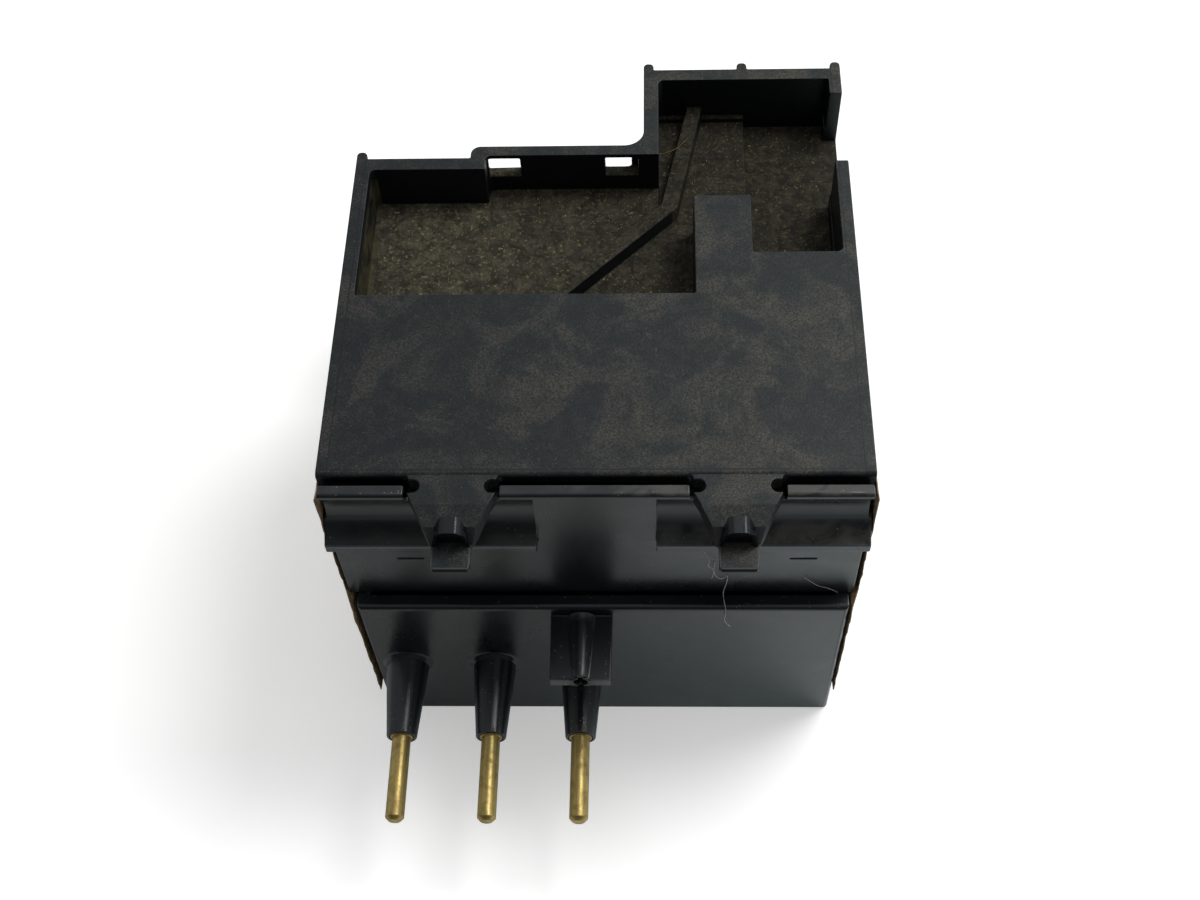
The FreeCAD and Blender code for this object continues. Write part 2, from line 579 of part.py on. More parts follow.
def front_housing():
    housing = piece("front_housing")
    left, right = "front_left", "front_right"
    block(housing, "Shell", (left, right), ("-front_reach", "block_near"), ("0", "step_level"))
    round_edges(housing, "PinSideEdges", "edge_radius", lambda edge: near(
        edge, y=-size("front_reach")) and not near(edge, z=0))
    block(housing, "Interior", (f"{left} + front_wall", f"{right} - front_wall"),
          ("front_wall - front_reach + 0.2", "block_near + 0.1"),
          ("panel_inner", "step_level + 0.1"), cut=True)
    block(housing, "ControlFace", (f"{left} + 2", f"{right} - 2"), ("1", "block_near - 2"),
          ("-0.1", "recess_face"), cut=True)
    # sleeves over the plug pins
    for pole in range(3):
        centre = f"first_pole + {pole} * pole_pitch"
        rod(housing, f"Sleeve{pole}", "-y", (centre, "-front_reach + 0.1", "pin_level"),
            "sleeve_tip - front_reach + 0.1", "sleeve_base_radius", tip="sleeve_tip_radius")
        rod(housing, f"SleeveRoot{pole}", "-y", (centre, "-front_reach + 0.1", "pin_level"),
            "root_length + 0.1", "root_radius", tip="sleeve_base_radius - 0.1")
    for pole in range(3):
        rod(housing, f"PinBore{pole}", "-y", (f"first_pole + {pole} * pole_pitch", "1", "pin_level"),
            "sleeve_tip + 2", "pin_shoulder + bore_clearance", cut=True)
    guide_tongue(housing)
    front_panel(housing)
    # guides of the trip slides between the poles
    for number in range(2):
        x = f"first_pole + pole_pitch * ({number} + 0.5)"
        block(housing, f"SlideRest{number}", (f"{x} - 0.7", f"{x} + 0.7"),
              ("slide_near - 0.3", "slide_near + slide_depth + 0.3"),
              ("panel_inner - 0.1", "6 - running_gap"))
        block(housing, f"SlidePost{number}", (f"{x} - 0.7", f"{x} + 0.7"),
              ("slide_near + slide_depth + 0.8", "slide_near + slide_depth + 2.2"),
              ("panel_inner - 0.1", "15.3 - running_gap"))
    return housing


def guide_tongue(housing):
    """Guide tongue above the third pin, with the hollow funnel for a control lead."""
    low = "guide_level - guide_thick"
    axis = "guide_level - guide_thick / 2"
    pad(housing, "GuideTongue", "XY", low, "guide_thick", [
        ("guide_centre - guide_half", "-front_reach + 0.2"),
        ("guide_centre + guide_half", "-front_reach + 0.2"),
        ("guide_centre + guide_half - 0.1", "-guide_reach"),
        ("guide_centre - guide_half + 0.1", "-guide_reach")])
    rod(housing, "Funnel", "-y", ("guide_centre", "-front_reach + 0.2", axis),
        "guide_reach - front_reach", "funnel_radius", tip="funnel_tip_radius")
    rod(housing, "FunnelBore", "-y", ("guide_centre", "-front_reach - 0.6", axis),
        "guide_reach - front_reach", "funnel_tip_radius - funnel_wall", cut=True)


def front_panel(housing):
    """Openings of the control face: dial, window hinge, buttons and trip flag."""
    rod(housing, "DialWell", "z", ("dial_x", "dial_y", "recess_face - 0.1"),
        "dial_front + dial_thick + running_gap - recess_face + 0.1", "dial_radius + 0.2", cut=True)
    rod(housing, "DialHole", "z", ("dial_x", "dial_y", "recess_face"), "panel_inner",
        "dial_shaft + bore_clearance", cut=True)
    block(housing, "ResetHole",
          ("button_x - reset_half - running_gap", "button_x + reset_half + running_gap"),
          ("reset_y - reset_half - running_gap", "reset_y + reset_half + running_gap"),
          ("0", "panel_inner + 0.1"), cut=True)
    rod(housing, "StopHole", "z", ("button_x", "stop_y", "0"), "panel_inner + 0.1",
        "stop_radius + running_gap", cut=True)
    block(housing, "FlagWindow", ("flag_left + 1.4", "flag_left + 4.4"),
          ("flag_near + 0.4", "flag_near + flag_width - 0.4"), ("0", "panel_inner + 0.1"), cut=True)
    for name, y in (("Near", "flag_near - 0.6"), ("Far", "flag_near + flag_width + 0.1")):
        block(housing, f"FlagGuide{name}", ("flag_left", "flag_left + flag_length"),
              (y, f"{y} + 0.5"), ("panel_inner - 0.1", "panel_inner + flag_thick + 0.3"))
    ears = (("Left", "window_left - 1"), ("Right", "window_left + window_width + 0.1"))
    for name, x in ears:
        block(housing, f"Ear{name}", (x, f"{x} + 0.9"), ("window_near - 0.8", "window_near + 0.8"),
              ("0.05", "recess_face + 0.1"))
        rod(housing, f"EarBore{name}", "x", (f"{x} - 0.1", "window_near", "window_level"), "1.1",
            "hinge_radius + bore_clearance", cut=True)


LOAD_TERMINALS = [f"first_terminal + {pole} * pole_pitch" for pole in range(3)]
CONTROL_TERMINALS = [(column, *row) for column in ("aux_one", "aux_two")
                     for row in (("front_plate", "front_screw_y"), ("rear_plate", "rear_screw_y"))]


def terminal_block():
    block_body = piece("terminal_block")
    far = "tall_depth"
    block(block_body, "Shell", ("front_left", "front_right"), ("block_near", far), ("0", "step_level"))
    barriers = ["front_left + nub_width / 2"]
    barriers += [f"first_terminal + pole_pitch * ({pole} + 0.5)" for pole in range(3)]
    barriers += ["(aux_one + aux_two) / 2", "front_right - nub_width / 2"]
    for number, x in enumerate(barriers):
        block(block_body, f"Barrier{number}", (f"{x} - nub_width / 2", f"{x} + nub_width / 2"),
              (f"{far} - 0.2", f"{far} + nub_reach"), ("0", "step_level"))
    inner = "block_near + web_thick"
    for number, x in enumerate(LOAD_TERMINALS):
        block(block_body, f"Chamber{number}", (f"{x} - chamber_half", f"{x} + chamber_half"),
              (inner, f"{far} + 1"), ("chamber_low", "chamber_high"), cut=True)
        block(block_body, f"BarSlot{number}", (f"{x} - bar_half - 0.2", f"{x} + bar_half + 0.2"),
              ("block_near - 0.1", f"{inner} + 0.1"),
              ("bar_high - 0.2", "bar_high + bar_thick + 0.2"), cut=True)
        middle = "(clamp_near + clamp_far) / 2"
        rod(block_body, f"DriverHole{number}", "z", (x, middle, "-0.1"), "2", "driver_radius", cut=True)
        block(block_body, f"HeadRoom{number}", (f"{x} - screw_head - 0.15", f"{x} + screw_head + 0.15"),
              (f"{middle} - screw_head - 0.15", f"{middle} + screw_head + 0.15"),
              ("screw_head_low - 0.2", "chamber_low + 0.1"), cut=True)
    for number, (x, plate, y) in enumerate(CONTROL_TERMINALS):
        rear = plate == "rear_plate"
        start = inner if rear else "rear_screw_y + driver_radius - 0.2"
        block(block_body, f"WireEntry{number}", (f"{x} - aux_half", f"{x} + aux_half"),
              (start, f"{far} + 1"), (f"{plate} - wire_room", f"{plate} + aux_thick + 0.1"), cut=True)
        block(block_body, f"StripSlot{number}", (f"{x} - aux_bar_half - 0.1", f"{x} + aux_bar_half + 0.1"),
              ("block_near - 0.1", f"{start} + 0.1"),
              (f"{plate} - 0.1", f"{plate} + aux_thick + 0.1"), cut=True)
        rod(block_body, f"ScrewWell{number}", "z", (x, y, "-0.1"), "well_depth + 0.1",
            "aux_head + 0.15", cut=True)
        if rear:
            block(block_body, f"ScrewShaft{number}", (f"{x} - aux_head - 0.15", f"{x} + aux_head + 0.15"),
                  (inner, f"{y} + aux_head + 0.15"), ("well_depth - 0.1", f"{plate} - 0.1"), cut=True)
        block(block_body, f"ScrewTipRoom{number}", (f"{x} - aux_shank - 0.2", f"{x} + aux_shank + 0.2"),
              (f"{y} - aux_shank - 0.2", f"{y} + aux_shank + 0.2"),
              (plate, f"{plate} + aux_thick + 1.6"), cut=True)
    return block_body


# ---------------------------------------------------------------- current paths
def pole_parts(pole):
    """Pin, bracket, bimetal strip, heater ribbon and load bar of one pole."""
    centre = f"first_pole + {pole} * pole_pitch"
    number = pole + 1
    pin = piece(f"line_pin_{number}")
    rod(pin, "Shoulder", "-y", (centre, "pin_tail - 0.5", "pin_level"), "sleeve_tip + pin_tail - 0.5",
        "pin_shoulder")
    rod(pin, "Prong", "-y", (centre, "-sleeve_tip + 0.5", "pin_level"), "pin_tip - sleeve_tip + 0.5",
        "pin_radius")
    bevel_edges(pin, "TipChamfer", "pin_chamfer", lambda edge: near(edge, y=-size("pin_tip")))
    block(pin, "Tang", (f"{centre} - pin_shoulder - 0.1", f"{centre} + pin_shoulder + 0.1"),
          ("pin_tail - 1", "pin_tail"),
          ("pin_level - pin_shoulder - 0.1", "pin_level + pin_shoulder + 0.1"))

    bracket = piece(f"bimetal_bracket_{number}")
    block(bracket, "Foot", (f"{centre} - 1.4", f"{centre} + 1.4"), ("pin_tail", "strip_near"),
          ("panel_inner", "strip_high + 1.4"))

    strip = piece(f"bimetal_strip_{number}")
    block(strip, "Leaf", (f"{centre} - strip_half", f"{centre} + strip_half"),
          ("strip_near", "strip_far"), ("strip_low", "strip_high"))

    heater_ribbon(number, centre)

    bar = piece(f"load_bar_{number}")
    last = "heater_start + heater_pitch * (heater_turns - 1)"
    seat = "strip_high + heater_gap + ribbon_thick"
    drop = "block_near + web_thick + 0.4"
    pad(bar, "Strip", "YZ", f"first_terminal + {pole} * pole_pitch - bar_half", "bar_half * 2", [
        (last, seat), (f"{last} + ribbon_width", seat), (f"{last} + ribbon_width", "bar_high"),
        (drop, "bar_high"), (drop, "bar_level"), ("tall_depth - 1.6", "bar_level"),
        ("tall_depth - 1.6", "bar_level + bar_thick"), (f"{drop} + bar_thick", "bar_level + bar_thick"),
        (f"{drop} + bar_thick", "bar_high + bar_thick"), (last, "bar_high + bar_thick")])


def heater_ribbon(number, centre):
    """Flat ribbon wound round the bimetal strip: one turn, repeated along the strip."""
    ribbon = piece(f"heater_winding_{number}")
    inner = "strip_half + heater_gap"
    outer = "strip_half + heater_gap + ribbon_thick"
    low, high = "strip_low - heater_gap", "strip_high + heater_gap"
    turn = ("heater_start", "heater_start + ribbon_width")
    across = (f"{centre} - ({outer})", f"{centre} + {outer}")
    sides = [
        block(ribbon, "Front", across, turn, (f"{low} - ribbon_thick", low)),
        block(ribbon, "Rear", across, turn, (high, f"{high} + ribbon_thick")),
        block(ribbon, "RightSide", (f"{centre} + {inner}", f"{centre} + {outer}"), turn, (low, high)),
        pad(ribbon, "LeftSide", "YZ", f"{centre} - ({outer})", "ribbon_thick", [
            ("heater_start", f"{low} - ribbon_thick"),
            ("heater_start + ribbon_width", f"{low} - ribbon_thick"),
            ("heater_start + ribbon_width + heater_pitch", f"{high} + ribbon_thick"),
            ("heater_start + heater_pitch", f"{high} + ribbon_thick")])]
    document.recompute()
    turns = ribbon.newObject("PartDesign::LinearPattern", "Turns")
    turns.Originals = sides
    axis = next(item for item in ribbon.Origin.OriginFeatures if item.Role == "Y_Axis")
    turns.Direction = (axis, [""])
    bind(turns, Length="heater_pitch * (heater_turns - 1)", Occurrences="heater_turns")
    ribbon.Tip = turns
    # lead from the bracket to the first turn
    block(ribbon, "Lead", (f"{centre} - 0.6", f"{centre} + 0.6"),
          ("strip_near", "heater_start + 0.1"), (high, f"{high} + ribbon_thick"))


def load_terminal(pole):
    """Captive screw and clamp cage of one load terminal, drawn open."""
    x = LOAD_TERMINALS[pole]
    middle = "(clamp_near + clamp_far) / 2"
    screw = piece(f"main_terminal_screw_{pole + 1}")
    rod(screw, "Head", "z", (x, middle, "screw_head_low"), "chamber_low - screw_head_low - 0.1", "screw_head")
    rod(screw, "Shank", "z", (x, middle, "screw_head_low + 1"), "bar_level - screw_head_low - 1.1",
        "screw_radius")
    block(screw, "Slot", (f"{x} - screw_head - 0.1", f"{x} + screw_head + 0.1"),
          (f"{middle} - slot_half", f"{middle} + slot_half"),
          ("screw_head_low - 0.1", "screw_head_low + 1.2"), cut=True)

    clamp = piece(f"main_terminal_clamp_{pole + 1}")
    block(clamp, "Cage", (f"{x} - clamp_half", f"{x} + clamp_half"), ("clamp_near", "clamp_far"),
          ("clamp_low", "clamp_high"))
    block(clamp, "Mouth", (f"{x} - clamp_half + clamp_side", f"{x} + clamp_half - clamp_side"),
          ("clamp_near - 0.1", "clamp_far + 0.1"),
          ("clamp_low + clamp_plate", "clamp_high - clamp_back"), cut=True)
    rod(clamp, "Thread", "z", (x, middle, "clamp_low - 0.1"), "clamp_plate + 0.2",
        "screw_radius + bore_clearance", cut=True)


def control_terminals():
    """Contact strips, screws and washers of the two control circuits."""
    screws = piece("control_terminal_screws", many=True)
    washers = piece("control_terminal_washers", many=True)
    for number, (x, plate, y) in enumerate(CONTROL_TERMINALS):
        head = f"{plate} - wire_room - 1.6"
        rod(screws, f"Head{number}", "z", (x, y, head), "1.6", "aux_head")
        rod(screws, f"Shank{number}", "z", (x, y, f"{head} + 1.5"), "wire_room + aux_thick + 1.2",
            "aux_shank")
        block(screws, f"Slot{number}", (f"{x} - aux_head - 0.1", f"{x} + aux_head + 0.1"),
              (f"{y} - slot_half", f"{y} + slot_half"), (f"{head} - 0.1", f"{head} + 0.8"), cut=True)
        low = f"{head} + 1.65"
        block(washers, f"Washer{number}", (f"{x} - 2.3", f"{x} + 2.3"), (f"{y} - 2", f"{y} + 2"),
              (low, f"{low} + 0.7"))
        block(washers, f"WasherSlot{number}",
              (f"{x} - aux_shank - bore_clearance", f"{x} + aux_shank + bore_clearance"),
              (f"{y} - aux_shank - bore_clearance", f"{y} + 2.1"), (f"{low} - 0.1", f"{low} + 0.8"),
              cut=True)
    rivets = piece("fixed_contact_rivets", many=True)
    circuits = (("no", "aux_one", "no_blade", "no_blade + blade_thick"),
                ("nc", "aux_two", "nc_blade", "nc_blade - rivet_height"))
    rows = (("front", "front_plate", "front_screw_y", "front_contact"),
            ("rear", "rear_plate", "rear_screw_y", "rear_contact"))
    for circuit, column, blade, rivet_x in circuits:
        for row, plate, screw_y, contact in rows:
            strip = piece(f"{circuit}_contact_strip_{row}")
            block(strip, "Plate", (f"{column} - aux_bar_half", f"{column} + aux_bar_half"),
                  ("frame_far + 0.2", f"{screw_y} + 2.6"), (plate, f"{plate} + aux_thick"))
            block(strip, "Riser", (blade, f"{blade} + blade_thick"),
                  ("frame_far + 0.2", "block_near - 0.2"),
                  (plate, f"{contact} + 1") if row == "front" else (f"{contact} - 1", f"{plate} + aux_thick"))
            block(strip, "Blade", (blade, f"{blade} + blade_thick"),
                  ("contact_y - 1.1", "block_near - 0.2"), (f"{contact} - 1", f"{contact} + 1"))
            rod(strip, "ScrewHole", "z", (column, screw_y, f"{plate} - 0.1"), "aux_thick + 0.2",
                "aux_shank + bore_clearance", cut=True)
            if row == "front":
                block(strip, "DriverPass", (f"{column} - driver_radius", f"{column} + driver_radius"),
                      ("rear_screw_y - driver_radius", "rear_screw_y + driver_radius"),
                      (f"{plate} - 0.1", f"{plate} + aux_thick + 0.1"), cut=True)
            block(rivets, f"Rivet{circuit}{row}", (rivet_x, f"{rivet_x} + rivet_height"),
                  ("contact_y - rivet_half", "contact_y + rivet_half"),
                  (f"{contact} - rivet_half", f"{contact} + rivet_half"))


# ---------------------------------------------------------------- trip mechanism
def mechanism_frame():
    frame = piece("mechanism_frame")
    low = "frame_low"
    block(frame, "Plate", ("frame_left", "front_right - front_wall - 0.1"), ("0.3", "frame_far"),
          (low, f"{low} + frame_thick"))
    feet = (("26.2", "2.2"), ("41.4", "2.2"), ("41.4", "31"), ("26.2", "24.5"))
    for number, (x, y) in enumerate(feet):
        block(frame, f"Foot{number}", (f"{x} - foot_half", f"{x} + foot_half"),
              (f"{y} - foot_half", f"{y} + foot_half"), ("panel_inner", f"{low} + 0.1"))
    pivots = (("Trip", "trip_x", "trip_y", "pivot_radius"), ("Arm", "arm_x", "arm_y", "pivot_radius - 0.2"))
    for name, x, y, radius in pivots:
        rod(frame, f"{name}Post", "z", (x, y, "panel_inner"), f"{low} - panel_inner + 0.1", radius)
    rod(frame, "LeverPost", "z", ("lever_x", "lever_y", f"{low} + frame_thick - 0.1"), "7", "pivot_radius")
    for name, y in (("Reset", "reset_y"), ("Stop", "stop_y")):
        block(frame, f"{name}StemHole", ("button_x - stem_radius - 0.2", "button_x + stem_radius + 0.2"),
              (f"{y} - stem_radius - 0.2", f"{y} + stem_radius + 0.2"),
              (f"{low} - 0.1", f"{low} + frame_thick + 0.1"), cut=True)


def trip_slides():
    """Main slide pushed by the bimetals, and the slide that senses a lost phase."""
    slide = piece("trip_slide")
    depth = ("slide_near", "slide_near + slide_depth")
    block(slide, "Bar", ("front_left + front_wall + 0.6", "slide_end"), depth, ("6", "8.2"))
    second = piece("differential_slide")
    block(second, "Bar", ("front_left + front_wall + 0.15", "first_pole + 2.5 * pole_pitch + 0.9"),
          ("slide_near", "slide_near + slide_depth + 2.2"), ("15.3", "16.7"))
    for pole in range(3):
        strip = f"first_pole + {pole} * pole_pitch"
        block(slide, f"Finger{pole}", (f"{strip} + strip_half + 0.2", f"{strip} + strip_half + 1.4"),
              depth, ("8.1", "12"))
        block(second, f"Finger{pole}",
              (f"{strip} - strip_half - finger_gap - 0.5", f"{strip} - strip_half - finger_gap"),
              depth, ("12.4", "15.4"))


def levers():
    """Trip lever with its compensating strip, adjusting arm, and contact lever."""
    lever = piece("trip_lever")
    rod(lever, "Hub", "z", ("trip_x", "trip_y", "5.2"), "6.4", "1.5")
    block(lever, "Arm", ("trip_x - 0.7", "trip_x + 0.7"), ("trip_y", "slide_near + slide_depth"),
          ("6.2", "8"))
    block(lever, "Foot", ("slide_end + contact_gap", "trip_x + 0.7"),
          ("slide_near + 0.1", "slide_near + slide_depth"), ("6.2", "8"))
    block(lever, "Tail", ("trip_x - 0.6", "trip_x + 0.6"), ("trip_y - 3", "trip_y"), ("7.8", "11.2"))
    rod(lever, "Bore", "z", ("trip_x", "trip_y", "5"), "7", "pivot_radius + bore_clearance", cut=True)

    leaf = piece("compensating_bimetal")
    block(leaf, "Leaf", ("trip_x - 0.3", "trip_x + 0.3"), ("trip_y - 9.5", "trip_y - 3"), ("7.8", "11.2"))

    arm = piece("adjusting_arm")
    rod(arm, "Hub", "z", ("arm_x", "arm_y", "4.9"), "2.3", "1.25")
    block(arm, "Arm", ("arm_x", "dial_x - cam_radius - 0.3"), ("dial_y - 3.5", "arm_y"), ("5.2", "7"))
    rod(arm, "Bore", "z", ("arm_x", "arm_y", "4.8"), "2.5", "pivot_radius - 0.2 + bore_clearance", cut=True)

    contact = piece("contact_lever")
    rod(contact, "Hub", "z", ("lever_x", "lever_y", "frame_low + frame_thick + 0.2"), "6", "1.9")
    right = "nc_blade - rivet_height * 2 - contact_gap - 0.3"
    left = "no_blade + blade_thick + rivet_height * 2 + open_gap + 0.3"
    block(contact, "Arm", (left, right), ("lever_y", "contact_y + 0.9"), ("14", "19.4"))
    rod(contact, "Bore", "z", ("lever_x", "lever_y", "13"), "8", "pivot_radius + bore_clearance", cut=True)
    bridges = piece("contact_bridges", many=True)
    tips = piece("moving_contact_rivets", many=True)
    for name, x, rivet in (("Closing", f"{left} - 0.3", f"{left} - 0.3 - rivet_height"),
                           ("Opening", right, f"{right} + 0.3")):
        block(bridges, name, (x, f"{x} + 0.3"), ("contact_y - 0.9", "contact_y + 0.9"), ("14.2", "19.2"))
        for row in ("front_contact", "rear_contact"):
            block(tips, name + row.title().replace("_", ""), (rivet, f"{rivet} + rivet_height"),
                  ("contact_y - rivet_half", "contact_y + rivet_half"),
                  (f"{row} - rivet_half", f"{row} + rivet_half"))


# ---------------------------------------------------------------- controls on the front
def current_dial():
    dial = piece("current_dial")
    centre = ("dial_x", "dial_y")
    back = "dial_front + dial_thick"
    rod(dial, "Face", "z", (*centre, "dial_front"), "dial_thick", "dial_radius")
    rod(dial, "Shaft", "z", (*centre, f"{back} - 0.1"), f"5 - ({back}) + 0.1", "dial_shaft")
    rod(dial, "Cam", "z", ("dial_x", "dial_y + cam_offset", "4.9"), "2.5", "cam_radius")
    block(dial, "DriverSlot", ("dial_x - 2.6", "dial_x + 2.6"), ("dial_y - 0.5", "dial_y + 0.5"),
          ("dial_front - 0.1", "dial_front + 0.9"), cut=True)
    block(dial, "Pointer", ("dial_x - 0.2", "dial_x + 0.2"), ("dial_y - dial_radius", "dial_y - 3.2"),
          ("dial_front - 0.1", "dial_front + 0.3"), cut=True)


def dial_window():
    window = piece("dial_window")
    right = "window_left + window_width"
    low, high = "window_level - window_thick / 2", "window_level + window_thick / 2"
    block(window, "Pane", ("window_left", right), ("window_near", "window_far"), (low, high))
    rod(window, "HingePin", "x", ("window_left - 0.9", "window_near", "window_level"),
        "window_width + 1.8", "hinge_radius")
    block(window, "FingerNotch", (f"{right} - 6.5", f"{right} - 3.5"),
          ("window_far - 0.6", "window_far + 0.1"), (f"{low} - 0.1", f"{low} + 0.3"), cut=True)


def push_buttons():
    """Square reset button and round stop button, each with a flange, stem and spring."""
    flange = "panel_inner + 0.2"
    reset = piece("reset_button")
    block(reset, "Cap", ("button_x - reset_half", "button_x + reset_half"),
          ("reset_y - reset_half", "reset_y + reset_half"), ("button_front", f"{flange} + 0.1"))
    bevel_edges(reset, "CapEdges", "button_chamfer", lambda edge: near(edge, z=size("button_front")))
    grown = "(reset_half + flange_grow)"
    block(reset, "Flange", (f"button_x - {grown}", f"button_x + {grown}"),
          (f"reset_y - {grown}", f"reset_y + {grown}"), (flange, f"{flange} + flange_thick"))
    stop = piece("stop_button")
    rod(stop, "Cap", "z", ("button_x", "stop_y", "button_front"), f"{flange} + 0.1 - button_front",
        "stop_radius")
    bevel_edges(stop, "CapEdge", "button_chamfer", lambda edge: near(edge, z=size("button_front")))
    wide = "(stop_radius + flange_grow)"
    block(stop, "Flange", (f"button_x - {wide}", f"button_x + {wide}"),
          (f"stop_y - {wide}", f"stop_y + {wide}"), (flange, f"{flange} + flange_thick"))
    for body, name, y in ((reset, "reset_spring", "reset_y"), (stop, "stop_spring", "stop_y")):
        rod(body, "Stem", "z", ("button_x", y, flange), f"frame_low + 0.6 - ({flange})", "stem_radius")
        coil_spring(name, y, f"{flange} + flange_thick")


def coil_spring(name, y, seat):
    """Compression spring between a button's flange and the mechanism frame."""
    spring = piece(name)
    wire = spring.newObject("Sketcher::SketchObject", "Wire")
    support = next(item for item in spring.Origin.OriginFeatures if item.Role == "XZ_Plane")
    wire.AttachmentSupport = [(support, "")]
    wire.MapMode = "FlatFace"
    bind(wire, AttachmentOffset__Base__z=f"-({y})", AttachmentOffset__Base__x="button_x",
         AttachmentOffset__Base__y=f"{seat} + spring_wire + 0.05")
    half = size("spring_wire")
    corners = [FreeCAD.Vector(size("spring_radius") + dx, dy, 0)
               for dx, dy in ((-half, -half), (half, -half), (half, half), (-half, half))]
    for index in range(4):
        wire.addGeometry(Part.LineSegment(corners[index], corners[(index + 1) % 4]), False)
    for index, (dx, dy) in enumerate((("-", "-"), ("+", "-"), ("+", "+"), ("-", "+"))):
        wire.addConstraint(Sketcher.Constraint("Coincident", index, 2, (index + 1) % 4, 1))
        across = wire.addConstraint(Sketcher.Constraint("DistanceX", -1, 1, index, 1, corners[index].x))
        up = wire.addConstraint(Sketcher.Constraint("DistanceY", -1, 1, index, 1, corners[index].y))
        wire.setExpression(f"Constraints[{across}]", formula(f"spring_radius {dx} spring_wire"))
        wire.setExpression(f"Constraints[{up}]", formula(f"0 {dy} spring_wire"))
    helix = spring.newObject("PartDesign::AdditiveHelix", "Coil")
    helix.Profile = wire
    helix.ReferenceAxis = (wire, ["V_Axis"])
    helix.Mode = "height-turns-angle"
    bind(helix, Height=f"frame_low - ({seat}) - spring_wire * 2 - 0.1", Turns="spring_turns")


def trip_flag():
    flag = piece("trip_flag")
    low = "panel_inner + running_gap"
    block(flag, "Plate", ("flag_left", "flag_left + flag_length"),
          ("flag_near", "flag_near + flag_width"), (low, f"{low} + flag_thick - running_gap"))


# ---------------------------------------------------------------- build, check and write
rear_cover()
main_housing()
front_housing()
terminal_block()
for pole_number in range(3):
    pole_parts(pole_number)
    load_terminal(pole_number)
control_terminals()
mechanism_frame()
trip_slides()
levers()
current_dial()
dial_window()
push_buttons()
trip_flag()
document.recompute()

failed = [item for item in document.Objects if "Invalid" in item.State or "Error" in item.State]
if failed:
    owners = [item.getParentGeoFeatureGroup() for item in failed]
    raise RuntimeError(", ".join(f"{owner.Label if owner else 'document'}: {item.Name}"
                                 for item, owner in zip(failed, owners)))
for body in PIECES:
    if body.Shape.isNull() or not body.Shape.isValid() or not body.Shape.Solids:
        raise RuntimeError(f"{body.Label} has no valid solid")
os.makedirs("parts", exist_ok=True)
for body in PIECES:
    body.Shape.exportStep(f"parts/{body.Label}.step")
    print(f"{body.Label}: {len(body.Shape.Solids)} solid(s), {body.Shape.Volume:.1f} mm3")
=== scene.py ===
"""Thermal overload relay: finished surfaces, small details and the studio around the CAD frame."""
import math
import random

import bmesh
import bpy
from bpy.props import FloatProperty, FloatVectorProperty, IntProperty, PointerProperty
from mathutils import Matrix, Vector


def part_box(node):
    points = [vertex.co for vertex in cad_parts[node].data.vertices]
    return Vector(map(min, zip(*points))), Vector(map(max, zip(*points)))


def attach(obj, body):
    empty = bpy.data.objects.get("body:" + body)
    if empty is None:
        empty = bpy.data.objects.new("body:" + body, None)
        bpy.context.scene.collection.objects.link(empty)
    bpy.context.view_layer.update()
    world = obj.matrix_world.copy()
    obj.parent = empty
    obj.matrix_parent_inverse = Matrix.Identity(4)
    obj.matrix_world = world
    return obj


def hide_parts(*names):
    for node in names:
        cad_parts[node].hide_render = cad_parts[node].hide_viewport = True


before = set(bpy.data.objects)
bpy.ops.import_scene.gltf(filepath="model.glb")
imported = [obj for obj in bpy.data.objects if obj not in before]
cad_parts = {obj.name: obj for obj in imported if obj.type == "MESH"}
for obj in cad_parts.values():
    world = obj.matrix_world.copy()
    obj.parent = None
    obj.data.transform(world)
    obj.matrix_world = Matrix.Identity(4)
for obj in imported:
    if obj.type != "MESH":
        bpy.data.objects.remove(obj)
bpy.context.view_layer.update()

bl_info = {
    "name": "Thermal Overload Relay",
    "version": (1, 0, 0),
    "blender": (4, 5, 0),
    "location": "View3D > Sidebar > Relay",
    "description": "Dresses a plug-in thermal overload relay in moulded, metal and dusty finishes",
    "category": "Object",
}

MM = 0.001
COVER_LOW, COVER_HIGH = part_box("rear_cover")
MAIN_LOW, MAIN_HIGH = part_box("main_housing")
FRONT_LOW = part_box("front_housing")[0]
BACK = COVER_HIGH[2]
LEFT = COVER_LOW[0]

# lengths in millimetres, from the left side, the pin wall and the back plane
SLEEVE_TIP = 9.1
PIN_WALL = FRONT_LOW[1] + SLEEVE_TIP * MM
HOOK_CENTRES = (11.1, 33.95)
RIDGE_HALF = 2.3
RIDGE_RUN = (-3.4, -0.7)
RIDGE_FLOOR = -2.45
RECESS_LEVEL = 3.0
RECESS_RADIUS = 3.7
RECESS_AXIS = 2.78
PAPER_TOP = 1.2
PAPER_HEIGHT = 33.6
PAPER_FAR = 33.5
WALL_STEP_DEPTH = 16.7
WALL_STEP = 0.7
PAPER_THICK = 0.13

SMOOTH_ANGLE = math.radians(32)
# painted shade for the gaps and slots
PAINTED_GAP_SHADE = (0.0008, 0.001, 0.0012)

# bays that hold crumbs: left, right, near, far, depth of the floor, share of the crumbs
CRUMB_BAYS = ((1.9, 14.5, 20.8, 34.2, 4.7, 0.25), (20.0, 30.4, 21.0, 26.5, 5.2, 0.3),
              (28.2, 35.6, 33.5, 45.2, 5.2, 0.3), (36.2, 43.4, 25.4, 45.2, 6.4, 0.45),
              (16.0, 27.0, 31.0, 36.0, 4.7, 0.25))
# stretches of the ledges that hold crumbs: left, right, number of crumbs
CRUMB_LEDGES = ((0.6, 7.2, 22), (15.2, 18.2, 8), (27.8, 30.2, 10), (37.6, 44.0, 48))
